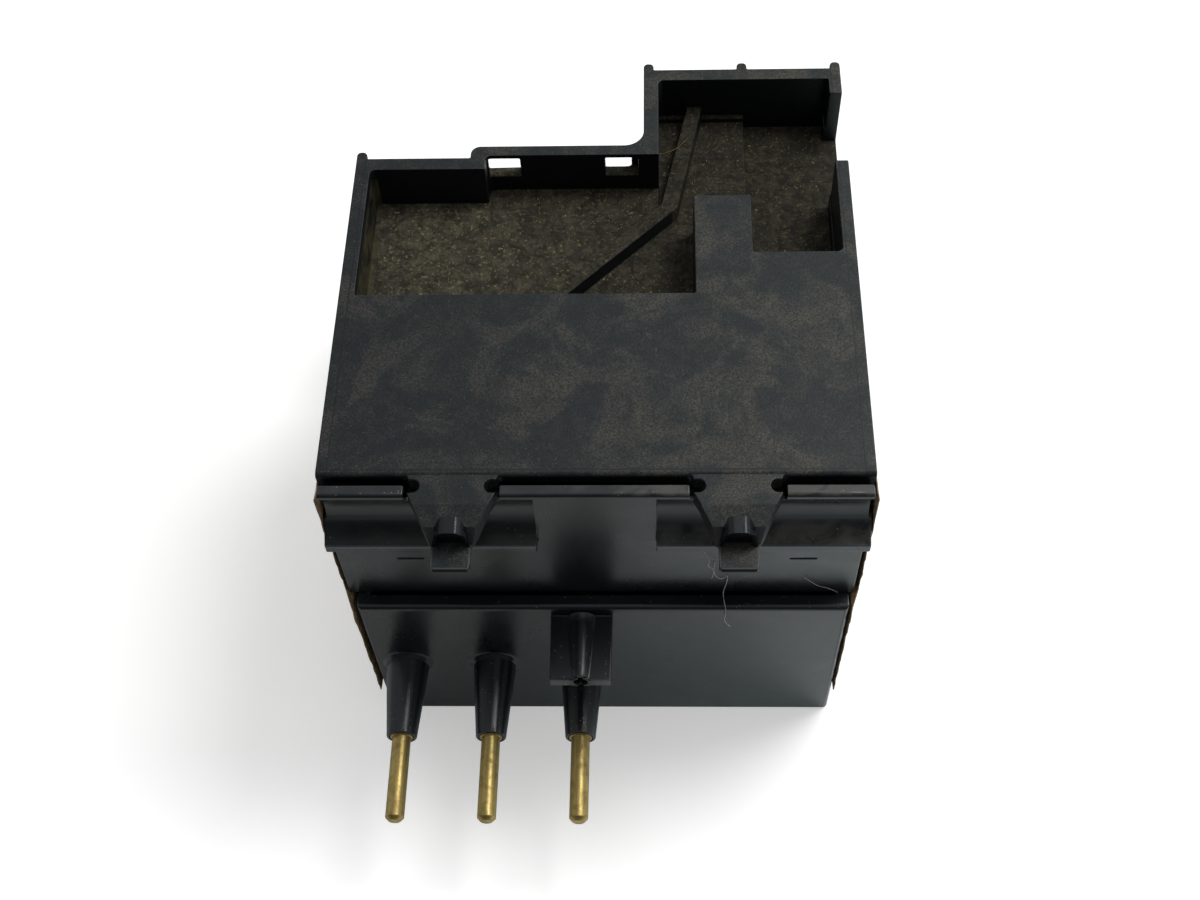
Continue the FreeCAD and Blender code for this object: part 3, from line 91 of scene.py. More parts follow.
# fibres: name, thickness in metres, finish, points
FIBRES = (
    ("lint_thread", 0.00006, "lint",
     ((32.4, -0.35, 10.4), (32.2, -0.5, 12.3), (33.1, -0.4, 13.6), (33.6, -0.25, 12.7),
      (33.5, -0.2, 14.9), (33.2, -0.3, 16.2), (33.6, -1.9, 17.0), (33.3, -2.0, 18.4),
      (34.0, -2.1, 19.2))),
    ("lint_loop", 0.00005, "lint",
     ((31.0, -0.3, 9.6), (31.6, -0.5, 9.0), (32.6, -0.6, 9.8), (33.4, -0.4, 9.2),
      (34.2, -0.5, 10.4))),
    ("lint_tuft", 0.00005, "lint",
     ((31.4, -0.2, 8.8), (32.1, -0.5, 9.9), (31.7, -0.4, 11.0), (32.5, -0.3, 11.9),
      (32.2, -0.5, 13.1))),
    ("lint_stray", 0.00004, "lint",
     ((40.2, -0.15, 13.6), (41.3, -0.3, 14.9), (42.4, -0.3, 15.2), (43.3, -0.2, 16.3))),
    ("bay_hair", 0.00006, "hair",
     ((27.3, 37.4, 1.2), (28.1, 38.3, 2.2), (29.0, 39.2, 2.7), (29.8, 40.2, 3.2),
      (30.6, 41.6, 3.5))),
)


def place(x, y, depth):
    """Turn millimetres from the left side, the pin wall and the back plane into a position."""
    return Vector((LEFT + x * MM, PIN_WALL + y * MM, BACK - depth * MM))


# ---------------------------------------------------------------- settings
class MouldingSettings(bpy.types.PropertyGroup):
    """Finish of the black housing mouldings."""
    black: FloatVectorProperty(name="Black", description="Colour of the moulded plastic",
                               subtype="COLOR", size=3, min=0, max=1, default=(0.003, 0.0042, 0.006))
    bloom: FloatVectorProperty(name="Bloom", description="Grey-blue sheen of the back panel",
                               subtype="COLOR", size=3, min=0, max=1, default=(0.0036, 0.0072, 0.0086))
    film: FloatVectorProperty(name="Film", description="Dust rubbed into the back panel",
                              subtype="COLOR", size=3, min=0, max=1, default=(0.0275, 0.027, 0.0225))
    edge_break: FloatProperty(name="Edge Break", description="Rounding of the moulded edges",
                              unit="LENGTH", min=0, max=0.001, default=0.00013)
    gloss: FloatProperty(name="Gloss Roughness", description="Roughness of the pin wall",
                         min=0, max=1, default=0.3)
    matt: FloatProperty(name="Matt Roughness", description="Roughness of the back panel",
                        min=0, max=1, default=0.52)


class DustSettings(bpy.types.PropertyGroup):
    """Dust, crumbs and lint that have settled on the relay."""
    colour: FloatVectorProperty(name="Dust", description="Colour of the settled dust",
                                subtype="COLOR", size=3, min=0, max=1, default=(0.060, 0.055, 0.036))
    crumb: FloatVectorProperty(name="Crumbs", description="Colour of the larger crumbs",
                               subtype="COLOR", size=3, min=0, max=1, default=(0.3, 0.235, 0.11))
    count: IntProperty(name="Crumb Count", description="Crumbs in the open bays", min=0, max=3000,
                       default=950)
    seed: IntProperty(name="Seed", description="Places the crumbs another way", min=0, default=7)


class MetalSettings(bpy.types.PropertyGroup):
    """Colours of the metal pieces."""
    brass: FloatVectorProperty(name="Brass", description="Plug pins", subtype="COLOR", size=3,
                               min=0, max=1, default=(0.46, 0.355, 0.135))
    copper: FloatVectorProperty(name="Copper", description="Current bars", subtype="COLOR", size=3,
                                min=0, max=1, default=(0.62, 0.33, 0.19))
    zinc: FloatVectorProperty(name="Zinc", description="Screws and clamps", subtype="COLOR", size=3,
                              min=0, max=1, default=(0.55, 0.55, 0.52))


class StudioSettings(bpy.types.PropertyGroup):
    """Camera and lights."""
    lens: FloatProperty(name="Lens", description="Focal length on a 36 mm sensor", unit="CAMERA",
                        min=10, default=46.715)
    camera_place: FloatVectorProperty(name="Camera", description="Place of the camera",
                                      subtype="TRANSLATION", unit="LENGTH", size=3,
                                      default=(0.004769, -0.078153, 0.144477))
    camera_turn: FloatVectorProperty(name="Camera Turn", description="Rotation of the camera",
                                     subtype="EULER", unit="ROTATION", size=3,
                                     default=(math.radians(32.315), math.radians(1.770),
                                              math.radians(0.9142)))
    key: FloatProperty(name="Key Light", description="Power of the soft lamp", unit="POWER",
                       min=0, default=1.15)
    sky: FloatProperty(name="Sky", description="Brightness of the surroundings", min=0, default=0.62)


# ---------------------------------------------------------------- modelling helpers
def deselect_all():
    """Leave nothing selected, in object mode."""
    if bpy.context.object and bpy.context.object.mode != "OBJECT":
        bpy.ops.object.mode_set(mode="OBJECT")
    bpy.ops.object.select_all(action="DESELECT")


def work_on(piece):
    """Make one piece the only selected and active object."""
    deselect_all()
    piece.select_set(True)
    bpy.context.view_layer.objects.active = piece


def settle(piece, name, body, material):
    """Apply a finished piece's place, name it, give it its finish and let it ride on its body."""
    work_on(piece)
    bpy.ops.object.transform_apply(location=True, rotation=True, scale=True)
    piece.name = name
    piece.data.name = name
    piece.data.materials.clear()
    piece.data.materials.append(material)
    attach(piece, body)
    return piece


def apply_all(piece):
    """Apply every modifier in order."""
    work_on(piece)
    for modifier in list(piece.modifiers):
        bpy.ops.object.modifier_apply(modifier=modifier.name)


def merged_copy(node):
    """Copy a CAD node's mesh, weld its loose triangles and join its flat areas into faces."""
    piece = bpy.data.objects.new(node + "_dressed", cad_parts[node].data.copy())
    bpy.context.scene.collection.objects.link(piece)
    work_on(piece)
    bpy.ops.object.mode_set(mode="EDIT")
    bpy.ops.mesh.select_all(action="SELECT")
    bpy.ops.mesh.customdata_custom_splitnormals_clear()
    bpy.ops.mesh.remove_doubles(threshold=0.000002)
    bpy.ops.mesh.dissolve_limited(angle_limit=math.radians(0.6))
    bpy.ops.mesh.normals_make_consistent(inside=False)
    bpy.ops.object.mode_set(mode="OBJECT")
    return piece


def on_ridge(spot):
    """Tell whether a point lies on a ridge over a latch lip."""
    here = spot - place(0, 0, 0)
    across = min(abs(here.x - centre * MM) for centre in HOOK_CENTRES)
    return (across < RIDGE_HALF * MM and RIDGE_RUN[0] * MM < here.y < RIDGE_RUN[1] * MM
            and here.z > RIDGE_FLOOR * MM)


def below_strip(spot):
    """Tell whether a point lies on the arris between the pin wall's top and the hollow below."""
    here = spot - place(0, 0, 0)
    return abs(here.y) < 0.03 * MM and -0.75 * MM < here.z < -0.3 * MM


def mark_edges(piece, angle):
    """Weight the sharp edges that get broken, and leave the ridges and the arris as they are."""
    mesh = bmesh.new()
    mesh.from_mesh(piece.data)
    weight = mesh.edges.layers.float.new("bevel_weight_edge")
    for edge in mesh.edges:
        spared = any(on_ridge(vertex.co) or below_strip(vertex.co) for vertex in edge.verts)
        edge[weight] = float(edge.calc_face_angle(0) > angle and not spared)
    mesh.to_mesh(piece.data)
    mesh.free()


def soften_ridges(piece):
    """Shade the long edges of the ridges as one rounded crown."""
    for edge in piece.data.edges:
        first, second = (piece.data.vertices[index].co for index in edge.vertices)
        run = second - first
        if on_ridge((first + second) / 2) and abs(run.y) > 3 * abs(run.x) and abs(run.y) > 0.6 * MM:
            edge.use_edge_sharp = False


def dressed(node, name, body, material, edge_break, segments=2, angle=38):
    """Stand a copy of a CAD node with broken edges in for the node."""
    piece = merged_copy(node)
    if edge_break:
        mark_edges(piece, math.radians(angle))
        bevel = piece.modifiers.new("Edge Break", "BEVEL")
        bevel.width = edge_break
        bevel.segments = segments
        bevel.limit_method = "WEIGHT"
        bevel.use_clamp_overlap = False
        bevel.miter_outer = "MITER_ARC"
        bevel.harden_normals = False
        apply_all(piece)
    work_on(piece)
    bpy.ops.object.shade_smooth_by_angle(angle=SMOOTH_ANGLE)
    soften_ridges(piece)
    weighted = piece.modifiers.new("Weighted Normals", "WEIGHTED_NORMAL")
    weighted.weight = 80
    weighted.keep_sharp = True
    apply_all(piece)
    settle(piece, name, body, material)
    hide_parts(node)
    return piece


def fibre(name, points, thickness, body, material):
    """Model a fine fibre as a tube along a smooth line."""
    curve = bpy.data.curves.new(name, "CURVE")
    curve.dimensions = "3D"
    curve.bevel_depth = thickness / 2
    curve.bevel_resolution = 1
    curve.resolution_u = 6
    curve.use_fill_caps = True
    line = curve.splines.new("NURBS")
    line.points.add(len(points) - 1)
    for knot, position in zip(line.points, points):
        knot.co = (*position, 1)
    line.order_u = 3
    line.use_endpoint_u = True
    piece = bpy.data.objects.new(name, curve)
    bpy.context.scene.collection.objects.link(piece)
    work_on(piece)
    bpy.ops.object.convert(target="MESH")
    return settle(bpy.context.object, name, body, material)


# ---------------------------------------------------------------- shader helpers
def new_material(name):
    """Start a material with its principled shader linked to the output."""
    material = bpy.data.materials.new(name)
    material.use_nodes = True
    tree = material.node_tree
    tree.nodes.clear()
    output = tree.nodes.new("ShaderNodeOutputMaterial")
    shader = tree.nodes.new("ShaderNodeBsdfPrincipled")
    tree.links.new(shader.outputs[0], output.inputs[0])
    return material, tree, shader


def node(tree, kind, settings=None, **inputs):
    """Add a shader node, set its properties, and set or link its inputs by name."""
    item = tree.nodes.new("ShaderNode" + kind)
    for key, setting in (settings or {}).items():
        setattr(item, key, setting)
    for key, given in inputs.items():
        socket = item.inputs[int(key[1:])] if key[0] == "i" and key[1:].isdigit() else \
            item.inputs[key.replace("_", " ")]
        if isinstance(given, bpy.types.NodeSocket):
            tree.links.new(given, socket)
        else:
            socket.default_value = given
    return item


def math_node(tree, operation, first, second=0.0, clamp=False):
    """Combine two values."""
    item = node(tree, "Math", {"operation": operation, "use_clamp": clamp}, i0=first, i1=second)
    return item.outputs[0]


def ramp(tree, value, low, high):
    """Rise smoothly from 0 at low to 1 at high."""
    item = node(tree, "MapRange", {"interpolation_type": "SMOOTHSTEP"}, Value=value)
    item.inputs["From Min"].default_value = low
    item.inputs["From Max"].default_value = high
    return item.outputs[0]


def noise(tree, vector, scale, detail=3.0, roughness=0.55, distortion=0.0):
    """Read a noise pattern."""
    item = node(tree, "TexNoise", None, Vector=vector, Scale=scale, Detail=detail,
                Roughness=roughness, Distortion=distortion)
    return item.outputs[0]


def mix_colour(tree, factor, first, second, blend="MIX"):
    """Mix two colours."""
    item = tree.nodes.new("ShaderNodeMix")
    item.data_type = "RGBA"
    item.blend_type = blend
    for socket, given in ((item.inputs[0], factor), (item.inputs[6], first), (item.inputs[7], second)):
        if isinstance(given, bpy.types.NodeSocket):
            tree.links.new(given, socket)
        elif socket.type == "RGBA":
            socket.default_value = (*given[:3], 1)
        else:
            socket.default_value = given
    return item.outputs[2]


def object_position(tree):
    """Read the position on the object."""
    return tree.nodes.new("ShaderNodeTexCoord").outputs["Object"]


def new_group(name, inputs, outputs):
    """Start a shader node group with named value or colour sockets."""
    group = bpy.data.node_groups.new(name, "ShaderNodeTree")
    for label, kind, default in inputs:
        socket = group.interface.new_socket(name=label, in_out="INPUT", socket_type=kind)
        socket.default_value = default
    for label, kind in outputs:
        group.interface.new_socket(name=label, in_out="OUTPUT", socket_type=kind)
    entry = group.nodes.new("NodeGroupInput")
    leave = group.nodes.new("NodeGroupOutput")
    return group, entry.outputs, leave.inputs


FLOAT = "NodeSocketFloat"


def use_group(tree, name, **inputs):
    """Place a shared group in a material."""
    item = tree.nodes.new("ShaderNodeGroup")
    item.node_tree = bpy.data.node_groups[name]
    for key, given in inputs.items():
        socket = item.inputs[key.replace("_", " ")]
        if isinstance(given, bpy.types.NodeSocket):
            tree.links.new(given, socket)
        else:
            socket.default_value = given
    return item.outputs


def build_groups():
    """Build the effects that several finishes share."""
    # fine spark texture of a mould, with a slight unevenness of the gloss
    group, given, result = new_group("Moulding Grain", [("Grain Size", FLOAT, 5200.0),
                                                         ("Smear Size", FLOAT, 240.0)],
                                     [("Height", FLOAT), ("Gloss Change", FLOAT)])
    position = object_position(group)
    grain = node(group, "TexNoise", None, Vector=position, Detail=2.0, Roughness=0.6)
    group.links.new(given["Grain Size"], grain.inputs["Scale"])
    smear = node(group, "TexNoise", None, Vector=position, Detail=4.0, Roughness=0.6, Distortion=1.4)
    group.links.new(given["Smear Size"], smear.inputs["Scale"])
    group.links.new(grain.outputs[0], result["Height"])
    group.links.new(math_node(group, "SUBTRACT", smear.outputs[0], 0.5), result["Gloss Change"])

    # dust that settles on what faces up, in patches, with fine pale specks
    group, given, result = new_group("Settled Dust", [("Patch Size", FLOAT, 260.0),
                                                       ("Cover", FLOAT, 0.5),
                                                       ("Speck Size", FLOAT, 1500.0)],
                                     [("Film", FLOAT), ("Specks", FLOAT), ("Up", FLOAT)])
    position = object_position(group)
    geometry = group.nodes.new("ShaderNodeNewGeometry")
    split = node(group, "SeparateXYZ", None, Vector=geometry.outputs["Normal"])
    up = ramp(group, split.outputs[2], 0.35, 0.85)
    patch = node(group, "TexNoise", None, Vector=position, Detail=6.0, Roughness=0.62, Distortion=0.9)
    group.links.new(given["Patch Size"], patch.inputs["Scale"])
    spread = math_node(group, "SUBTRACT", math_node(group, "ADD", patch.outputs[0], given["Cover"]), 0.5)
    film = math_node(group, "MULTIPLY", ramp(group, spread, 0.38, 0.72), up)
    cells = node(group, "TexVoronoi", {"feature": "F1"}, Vector=position, Randomness=1.0)
    group.links.new(given["Speck Size"], cells.inputs["Scale"])
    chosen = node(group, "SeparateColor", None, Color=cells.outputs["Color"])
    speck = math_node(group, "MULTIPLY", math_node(group, "LESS_THAN", cells.outputs["Distance"], 0.2),
                      math_node(group, "GREATER_THAN", chosen.outputs[0], 0.86))
    group.links.new(film, result["Film"])
    group.links.new(math_node(group, "MULTIPLY", speck, up), result["Specks"])
    group.links.new(up, result["Up"])

    # worn and handled edges, lightened along the edge, partly as a painted highlight
    group, given, result = new_group("Edge Wear and Highlight", [("Width", FLOAT, 0.00025), ("Break Up", FLOAT, 900.0)],
                                     [("Mask", FLOAT)])
    bevel = group.nodes.new("ShaderNodeBevel")
    bevel.samples = 4
    group.links.new(given["Width"], bevel.inputs["Radius"])
    geometry = group.nodes.new("ShaderNodeNewGeometry")
    facing = node(group, "VectorMath", {"operation": "DOT_PRODUCT"}, i0=bevel.outputs[0],
                  i1=geometry.outputs["Normal"])
    edge = ramp(group, math_node(group, "SUBTRACT", 1.0, facing.outputs["Value"]), 0.03, 0.3)
    broken = node(group, "TexNoise", None, Vector=object_position(group), Detail=3.0)
    group.links.new(given["Break Up"], broken.inputs["Scale"])
    group.links.new(math_node(group, "MULTIPLY", edge, ramp(group, broken.outputs[0], 0.3, 0.65)),
                    result["Mask"])


def bump(tree, height, strength, distance):
    """Turn a height into a normal."""
    return node(tree, "Bump", None, Strength=strength, Distance=distance, Height=height).outputs[0]


def blotches(tree, position, scale, low, high):
    """Cloudy patches with ragged outlines."""
    return ramp(tree, noise(tree, position, scale, 7.0, 0.64, 1.1), low, high)


def between(tree, value, low, high):
    """Give 1 where the value lies between two limits, else 0."""
    return math_node(tree, "MULTIPLY", math_node(tree, "GREATER_THAN", value, low),
                     math_node(tree, "LESS_THAN", value, high))


def rear_cover_finish(mould, dust):
    """Matt blotched panel, dusty bays and black walls of the rear cover, with painted light and shade on
    the panel, in the gaps and on the latch lips.
    """
    material, tree, shader = new_material("Rear Cover Moulding")
    position = object_position(tree)
    place_split = node(tree, "SeparateXYZ", None, Vector=position)
    across, along = place_split.outputs[0], place_split.outputs[1]
    depth = math_node(tree, "SUBTRACT", BACK, place_split.outputs[2])
    settled = use_group(tree, "Settled Dust", Patch_Size=230.0, Cover=0.42, Speck_Size=3600.0)
    grain = use_group(tree, "Moulding Grain", Grain_Size=5200.0, Smear_Size=170.0)
    edge_wear_and_highlight = use_group(tree, "Edge Wear and Highlight", Width=0.00022, Break_Up=700.0)
    up = settled["Up"]
    # wiped, cloudy film on the panel, with painted shade to the left and painted light to the right
    side_light = ramp(tree, across, LEFT, LEFT + 0.05)
    clouds = math_node(tree, "ADD", math_node(tree, "MULTIPLY", blotches(
        tree, position, 130.0, 0.45, 0.59), 0.68), math_node(tree, "MULTIPLY", blotches(
            tree, position, 360.0, 0.42, 0.64), 0.32))
    film = mix_colour(tree, clouds, mould.bloom, mould.film)
    film = mix_colour(tree, side_light, mix_colour(tree, 1.0, film, (0.8, 0.82, 0.86), "MULTIPLY"),
                      mix_colour(tree, 1.0, film, (1.3, 1.25, 1.2), "MULTIPLY"))
    speckle = ramp(tree, noise(tree, position, 6200.0, 2.0, 0.8), 0.36, 0.64)
    film = mix_colour(tree, speckle, mix_colour(tree, 1.0, film, (0.25, 0.27, 0.3), "MULTIPLY"),
                      mix_colour(tree, 1.0, film, (1.75, 1.72, 1.68), "MULTIPLY"))
    # a fine line runs beside the panel's near and side edges
    line = math_node(tree, "MAXIMUM", between(tree, along, PIN_WALL + 0.0024, PIN_WALL + 0.00256),
                     math_node(tree, "MAXIMUM", between(tree, across, LEFT + 0.00085, LEFT + 0.00097),
                               between(tree, across, -LEFT - 0.00097, -LEFT - 0.00085)))
    line = math_node(tree, "MULTIPLY", line, math_node(tree, "LESS_THAN", depth, 0.0002))
    film = mix_colour(tree, math_node(tree, "MULTIPLY", line, 0.75), film, (0.001, 0.0013, 0.0016))
    surface = mix_colour(tree, up, mould.black, film)
    surface = mix_colour(tree, math_node(tree, "MULTIPLY", settled["Specks"], 0.5), surface,
                         (0.09, 0.085, 0.07))
    # thick dust in the bays, paler to the left, clotted to the right
    behind = math_node(tree, "GREATER_THAN", along, PIN_WALL + 0.003)
    in_bay = math_node(tree, "MULTIPLY", math_node(tree, "MULTIPLY", ramp(
        tree, depth, 0.0016, 0.0028), up), behind)
    far_side = ramp(tree, across, LEFT + 0.002, LEFT + 0.034)
    pale = mix_colour(tree, far_side, [value * 1.3 for value in dust.colour],
                      [value * 0.6 for value in dust.colour])
    clots = ramp(tree, noise(tree, position, 900.0, 7.0, 0.76, 0.6), 0.36, 0.66)
    fluff = mix_colour(tree, clots, mix_colour(tree, 1.0, pale, (0.24, 0.24, 0.23), "MULTIPLY"), pale)
    fluff = mix_colour(tree, ramp(tree, noise(tree, position, 3100.0, 3.0, 0.7), 0.56, 0.7), fluff,
                       mix_colour(tree, 1.0, pale, (2.6, 2.35, 1.8), "MULTIPLY"))
    soot = ramp(tree, noise(tree, position, 210.0, 4.0, 0.6, 1.2), 0.5, 0.7)
    fluff = mix_colour(tree, math_node(tree, "MULTIPLY", soot, 0.6), fluff, (0.014, 0.0135, 0.011))
    surface = mix_colour(tree, in_bay, surface, fluff)
    # a dusty band on the left bay's side wall
    side = math_node(tree, "MULTIPLY", ramp(tree, depth, 0.0005, 0.0014),
                     math_node(tree, "LESS_THAN", across, LEFT + 0.0019))
    side = math_node(tree, "MULTIPLY", side, math_node(tree, "GREATER_THAN", along, PIN_WALL + 0.0204))
    side = math_node(tree, "MULTIPLY", side, ramp(tree, noise(tree, position, 500.0, 4.0), 0.38, 0.6))
    surface = mix_colour(tree, math_node(tree, "MULTIPLY", side, 0.8), surface, (0.055, 0.048, 0.024))
    arm = math_node(tree, "MULTIPLY", between(tree, across, LEFT + 0.029, LEFT + 0.0352),
                    between(tree, along, PIN_WALL + 0.0275, PIN_WALL + 0.0432))
    arm = math_node(tree, "MULTIPLY", arm, math_node(tree, "GREATER_THAN", depth, 0.0025))
    surface = mix_colour(tree, math_node(tree, "MULTIPLY", arm, 0.85), surface, fluff)
    # edge wear, partly a painted highlight along the edges
    surface = mix_colour(tree, math_node(tree, "MULTIPLY", edge_wear_and_highlight["Mask"], 0.35), surface,
                         (0.035, 0.042, 0.048))
    # painted shade: the gap beside the pin wall and the relief slots are painted black; the ridges over
    # the lips shine
    gap_shade = math_node(tree, "MULTIPLY", between(tree, along, PIN_WALL + 0.0003, PIN_WALL + 0.00185),
                    ramp(tree, depth, 0.00016, 0.00045))
    surface = mix_colour(tree, gap_shade, surface, PAINTED_GAP_SHADE)
    off_centre = math_node(tree, "MINIMUM", *[math_node(tree, "ABSOLUTE", math_node(
        tree, "SUBTRACT", across, LEFT + centre * MM)) for centre in HOOK_CENTRES])
    hook = math_node(tree, "MULTIPLY", math_node(tree, "LESS_THAN", along, PIN_WALL - 0.0004),
                     math_node(tree, "SUBTRACT", 1.0, up))
    surface = mix_colour(tree, math_node(tree, "MULTIPLY", hook, 0.6), surface, film)
    # the crown lies above the sloping arm
    arm_top = math_node(tree, "ADD", 0.00012, math_node(tree, "MULTIPLY", math_node(
        tree, "SUBTRACT", PIN_WALL - 0.0006, along), 0.322))
    ridge = math_node(tree, "MULTIPLY", between(tree, along, PIN_WALL - 0.0034, PIN_WALL - 0.00172),
                      math_node(tree, "LESS_THAN", off_centre, 0.0015))
    ridge = math_node(tree, "MULTIPLY", ridge, math_node(tree, "LESS_THAN", depth, math_node(
        tree, "SUBTRACT", arm_top, 0.00002)))
    flank = math_node(tree, "MULTIPLY", between(tree, along, PIN_WALL - 0.0034, PIN_WALL - 0.00235),
                      math_node(tree, "LESS_THAN", off_centre, math_node(
                          tree, "ADD", 0.00118, math_node(tree, "MULTIPLY", depth, 0.15))))
    ridge = math_node(tree, "MAXIMUM", ridge, math_node(
        tree, "MULTIPLY", flank, math_node(tree, "LESS_THAN", depth, 0.00236)))
    surface = mix_colour(tree, math_node(tree, "MULTIPLY", ridge, 0.9), surface, mould.black)
    # painted highlights on the rims round the latch lips, and painted shade on the front ends of the
    # ridges and lips
    before = math_node(tree, "LESS_THAN", along, PIN_WALL - 0.0033)
    rim_highlight = math_node(tree, "MAXIMUM", math_node(tree, "GREATER_THAN", off_centre, 0.00143),
                    math_node(tree, "LESS_THAN", along, PIN_WALL - 0.00513))
    rim_highlight = math_node(tree, "MULTIPLY", math_node(tree, "MULTIPLY", rim_highlight, before), up)
    surface = mix_colour(tree, math_node(tree, "MULTIPLY", rim_highlight, 0.6), surface, (0.055, 0.06, 0.055))
    shaded_ends = math_node(tree, "MULTIPLY", math_node(tree, "SUBTRACT", 1.0, up), math_node(
        tree, "MAXIMUM", math_node(tree, "LESS_THAN", along, PIN_WALL - 0.00524),
        math_node(tree, "MULTIPLY", between(tree, along, PIN_WALL - 0.0032, PIN_WALL - 0.0028),
                  math_node(tree, "LESS_THAN", off_centre, 0.0013))))
    surface = mix_colour(tree, shaded_ends, surface, (0.0005, 0.0006, 0.0008))
    gap_shade = math_node(tree, "MAXIMUM", gap_shade, shaded_ends)
    tree.links.new(surface, shader.inputs["Base Color"])
    rough = math_node(tree, "ADD", mould.matt, math_node(tree, "MULTIPLY", grain["Gloss Change"], 0.2))
    rough = math_node(tree, "ADD", rough, math_node(tree, "MULTIPLY", math_node(
        tree, "MAXIMUM", in_bay, gap_shade), 0.45))
    rough = math_node(tree, "SUBTRACT", rough, math_node(tree, "MULTIPLY", ridge, 0.24))
    rough = math_node(tree, "SUBTRACT", rough, math_node(
        tree, "MULTIPLY", math_node(tree, "SUBTRACT", 1.0, up), 0.08), clamp=True)
    tree.links.new(rough, shader.inputs["Roughness"])
    lumps = math_node(tree, "MULTIPLY", math_node(tree, "MULTIPLY", clots, in_bay), 2.6)
    height = math_node(tree, "ADD", math_node(tree, "MULTIPLY", grain["Height"], 0.45), lumps)
    tree.links.new(bump(tree, height, 0.5, 0.00007), shader.inputs["Normal"])
    shader.inputs["IOR"].default_value = 1.46
    shader.inputs["Specular IOR Level"].default_value = 0.32
    return material


def pin_wall_finish(mould):
    """Glossier black of the middle and front housings, with smears and dust on the ledges, a painted
    reflection on the wall below them, painted highlights on the edges and painted shade in the gaps.
    """
    material, tree, shader = new_material("Pin Wall Moulding")
    position = object_position(tree)
    place_split = node(tree, "SeparateXYZ", None, Vector=position)
    across, along = place_split.outputs[0], place_split.outputs[1]
    depth = math_node(tree, "SUBTRACT", BACK, place_split.outputs[2])
    settled = use_group(tree, "Settled Dust", Patch_Size=420.0, Cover=0.56, Speck_Size=3600.0)
    grain = use_group(tree, "Moulding Grain", Grain_Size=3600.0, Smear_Size=150.0)
    edge_wear_and_highlight = use_group(tree, "Edge Wear and Highlight", Width=0.0002, Break_Up=600.0)
    on_right = ramp(tree, across, LEFT + 0.018, LEFT + 0.034)
    dusty = math_node(tree, "MULTIPLY", settled["Film"], math_node(
        tree, "ADD", 0.12, math_node(tree, "MULTIPLY", on_right, 0.8)))
    dusty = math_node(tree, "MULTIPLY", dusty, math_node(tree, "LESS_THAN", depth, 0.012))
    surface = mix_colour(tree, dusty, mould.black, (0.07, 0.068, 0.056))
    surface = mix_colour(tree, math_node(tree, "MULTIPLY", settled["Specks"], 0.8), surface,
                         (0.17, 0.145, 0.09))
    haze = ramp(tree, noise(tree, position, 85.0, 3.0, 0.5, 1.1), 0.45, 0.7)
    surface = mix_colour(tree, math_node(tree, "MULTIPLY", haze, 0.3), surface, (0.009, 0.0125, 0.0145))
    # a bluish painted reflection on the wall below the ledges, thinner in the middle and to the left
    middle = math_node(tree, "ABSOLUTE", math_node(tree, "ADD", across, 0.0005))
    wall_reflection = math_node(tree, "MULTIPLY", ramp(tree, middle, 0.003, 0.0065), math_node(
        tree, "ADD", 0.45, math_node(tree, "MULTIPLY", on_right, 0.55)))
    wall_reflection = math_node(tree, "MULTIPLY", wall_reflection, math_node(tree, "SUBTRACT", 1.0, ramp(
        tree, depth, 0.0105, 0.0155)))
    wall_reflection = math_node(tree, "MULTIPLY", wall_reflection, math_node(tree, "MULTIPLY", math_node(
        tree, "GREATER_THAN", depth, 0.0074), math_node(tree, "GREATER_THAN", along, PIN_WALL - 0.0005)))
    wall_reflection = math_node(tree, "MULTIPLY", wall_reflection, math_node(tree, "ADD", 0.6, haze))
    surface = mix_colour(tree, wall_reflection, surface, (0.036, 0.044, 0.048))
    # edge wear, partly a painted highlight along the edges, left off between 12 and 18.5 mm deep
    worn_and_highlit = math_node(tree, "MULTIPLY", edge_wear_and_highlight["Mask"], math_node(
        tree, "SUBTRACT", 1.0, between(tree, depth, 0.012, 0.0185)))
    surface = mix_colour(tree, math_node(tree, "MULTIPLY", worn_and_highlit, 0.5), surface, (0.045, 0.053, 0.06))
    # painted highlight along the front top edge of the ledges
    lip_highlight = math_node(tree, "MULTIPLY", between(tree, along, PIN_WALL - 0.0012, PIN_WALL - 0.00098),
                         between(tree, depth, 0.0058, 0.0066))
    surface = mix_colour(tree, math_node(tree, "MULTIPLY", lip_highlight, 0.7), surface,
                         (0.06, 0.07, 0.08))
    # painted shade: the gap behind the wall's top and the step's underside are painted black
    gap_shade = math_node(tree, "MULTIPLY", between(tree, along, PIN_WALL + 0.00108, PIN_WALL + 0.0025),
                    ramp(tree, depth, 0.00016, 0.0005))
    surface = mix_colour(tree, gap_shade, surface, PAINTED_GAP_SHADE)
    tree.links.new(surface, shader.inputs["Base Color"])
    rough = math_node(tree, "ADD", mould.gloss, math_node(tree, "MULTIPLY", grain["Gloss Change"], 0.22))
    rough = math_node(tree, "ADD", rough, math_node(tree, "MULTIPLY", math_node(
        tree, "MAXIMUM", dusty, gap_shade), 0.55), clamp=True)
    tree.links.new(rough, shader.inputs["Roughness"])
    tree.links.new(bump(tree, grain["Height"], 0.12, 0.00002), shader.inputs["Normal"])
    shader.inputs["IOR"].default_value = 1.48
    return material


def plain_moulding(name, colour, roughness, speck=0.08):
    """Clean moulded plastic for the pieces inside and on the front."""
    material, tree, shader = new_material(name)
    position = object_position(tree)
    grain = use_group(tree, "Moulding Grain", Grain_Size=4200.0, Smear_Size=300.0)
    tone = ramp(tree, noise(tree, position, 380.0, 4.0, 0.6, 0.4), 0.3, 0.75)
    shaded = [value * (1 - speck * 2.5) for value in colour]
    tree.links.new(mix_colour(tree, tone, shaded, colour), shader.inputs["Base Color"])
    rough = math_node(tree, "ADD", roughness, math_node(tree, "MULTIPLY", grain["Gloss Change"], 0.18),
                      clamp=True)
    tree.links.new(rough, shader.inputs["Roughness"])
    tree.links.new(bump(tree, grain["Height"], 0.3, 0.00002), shader.inputs["Normal"])
    return material


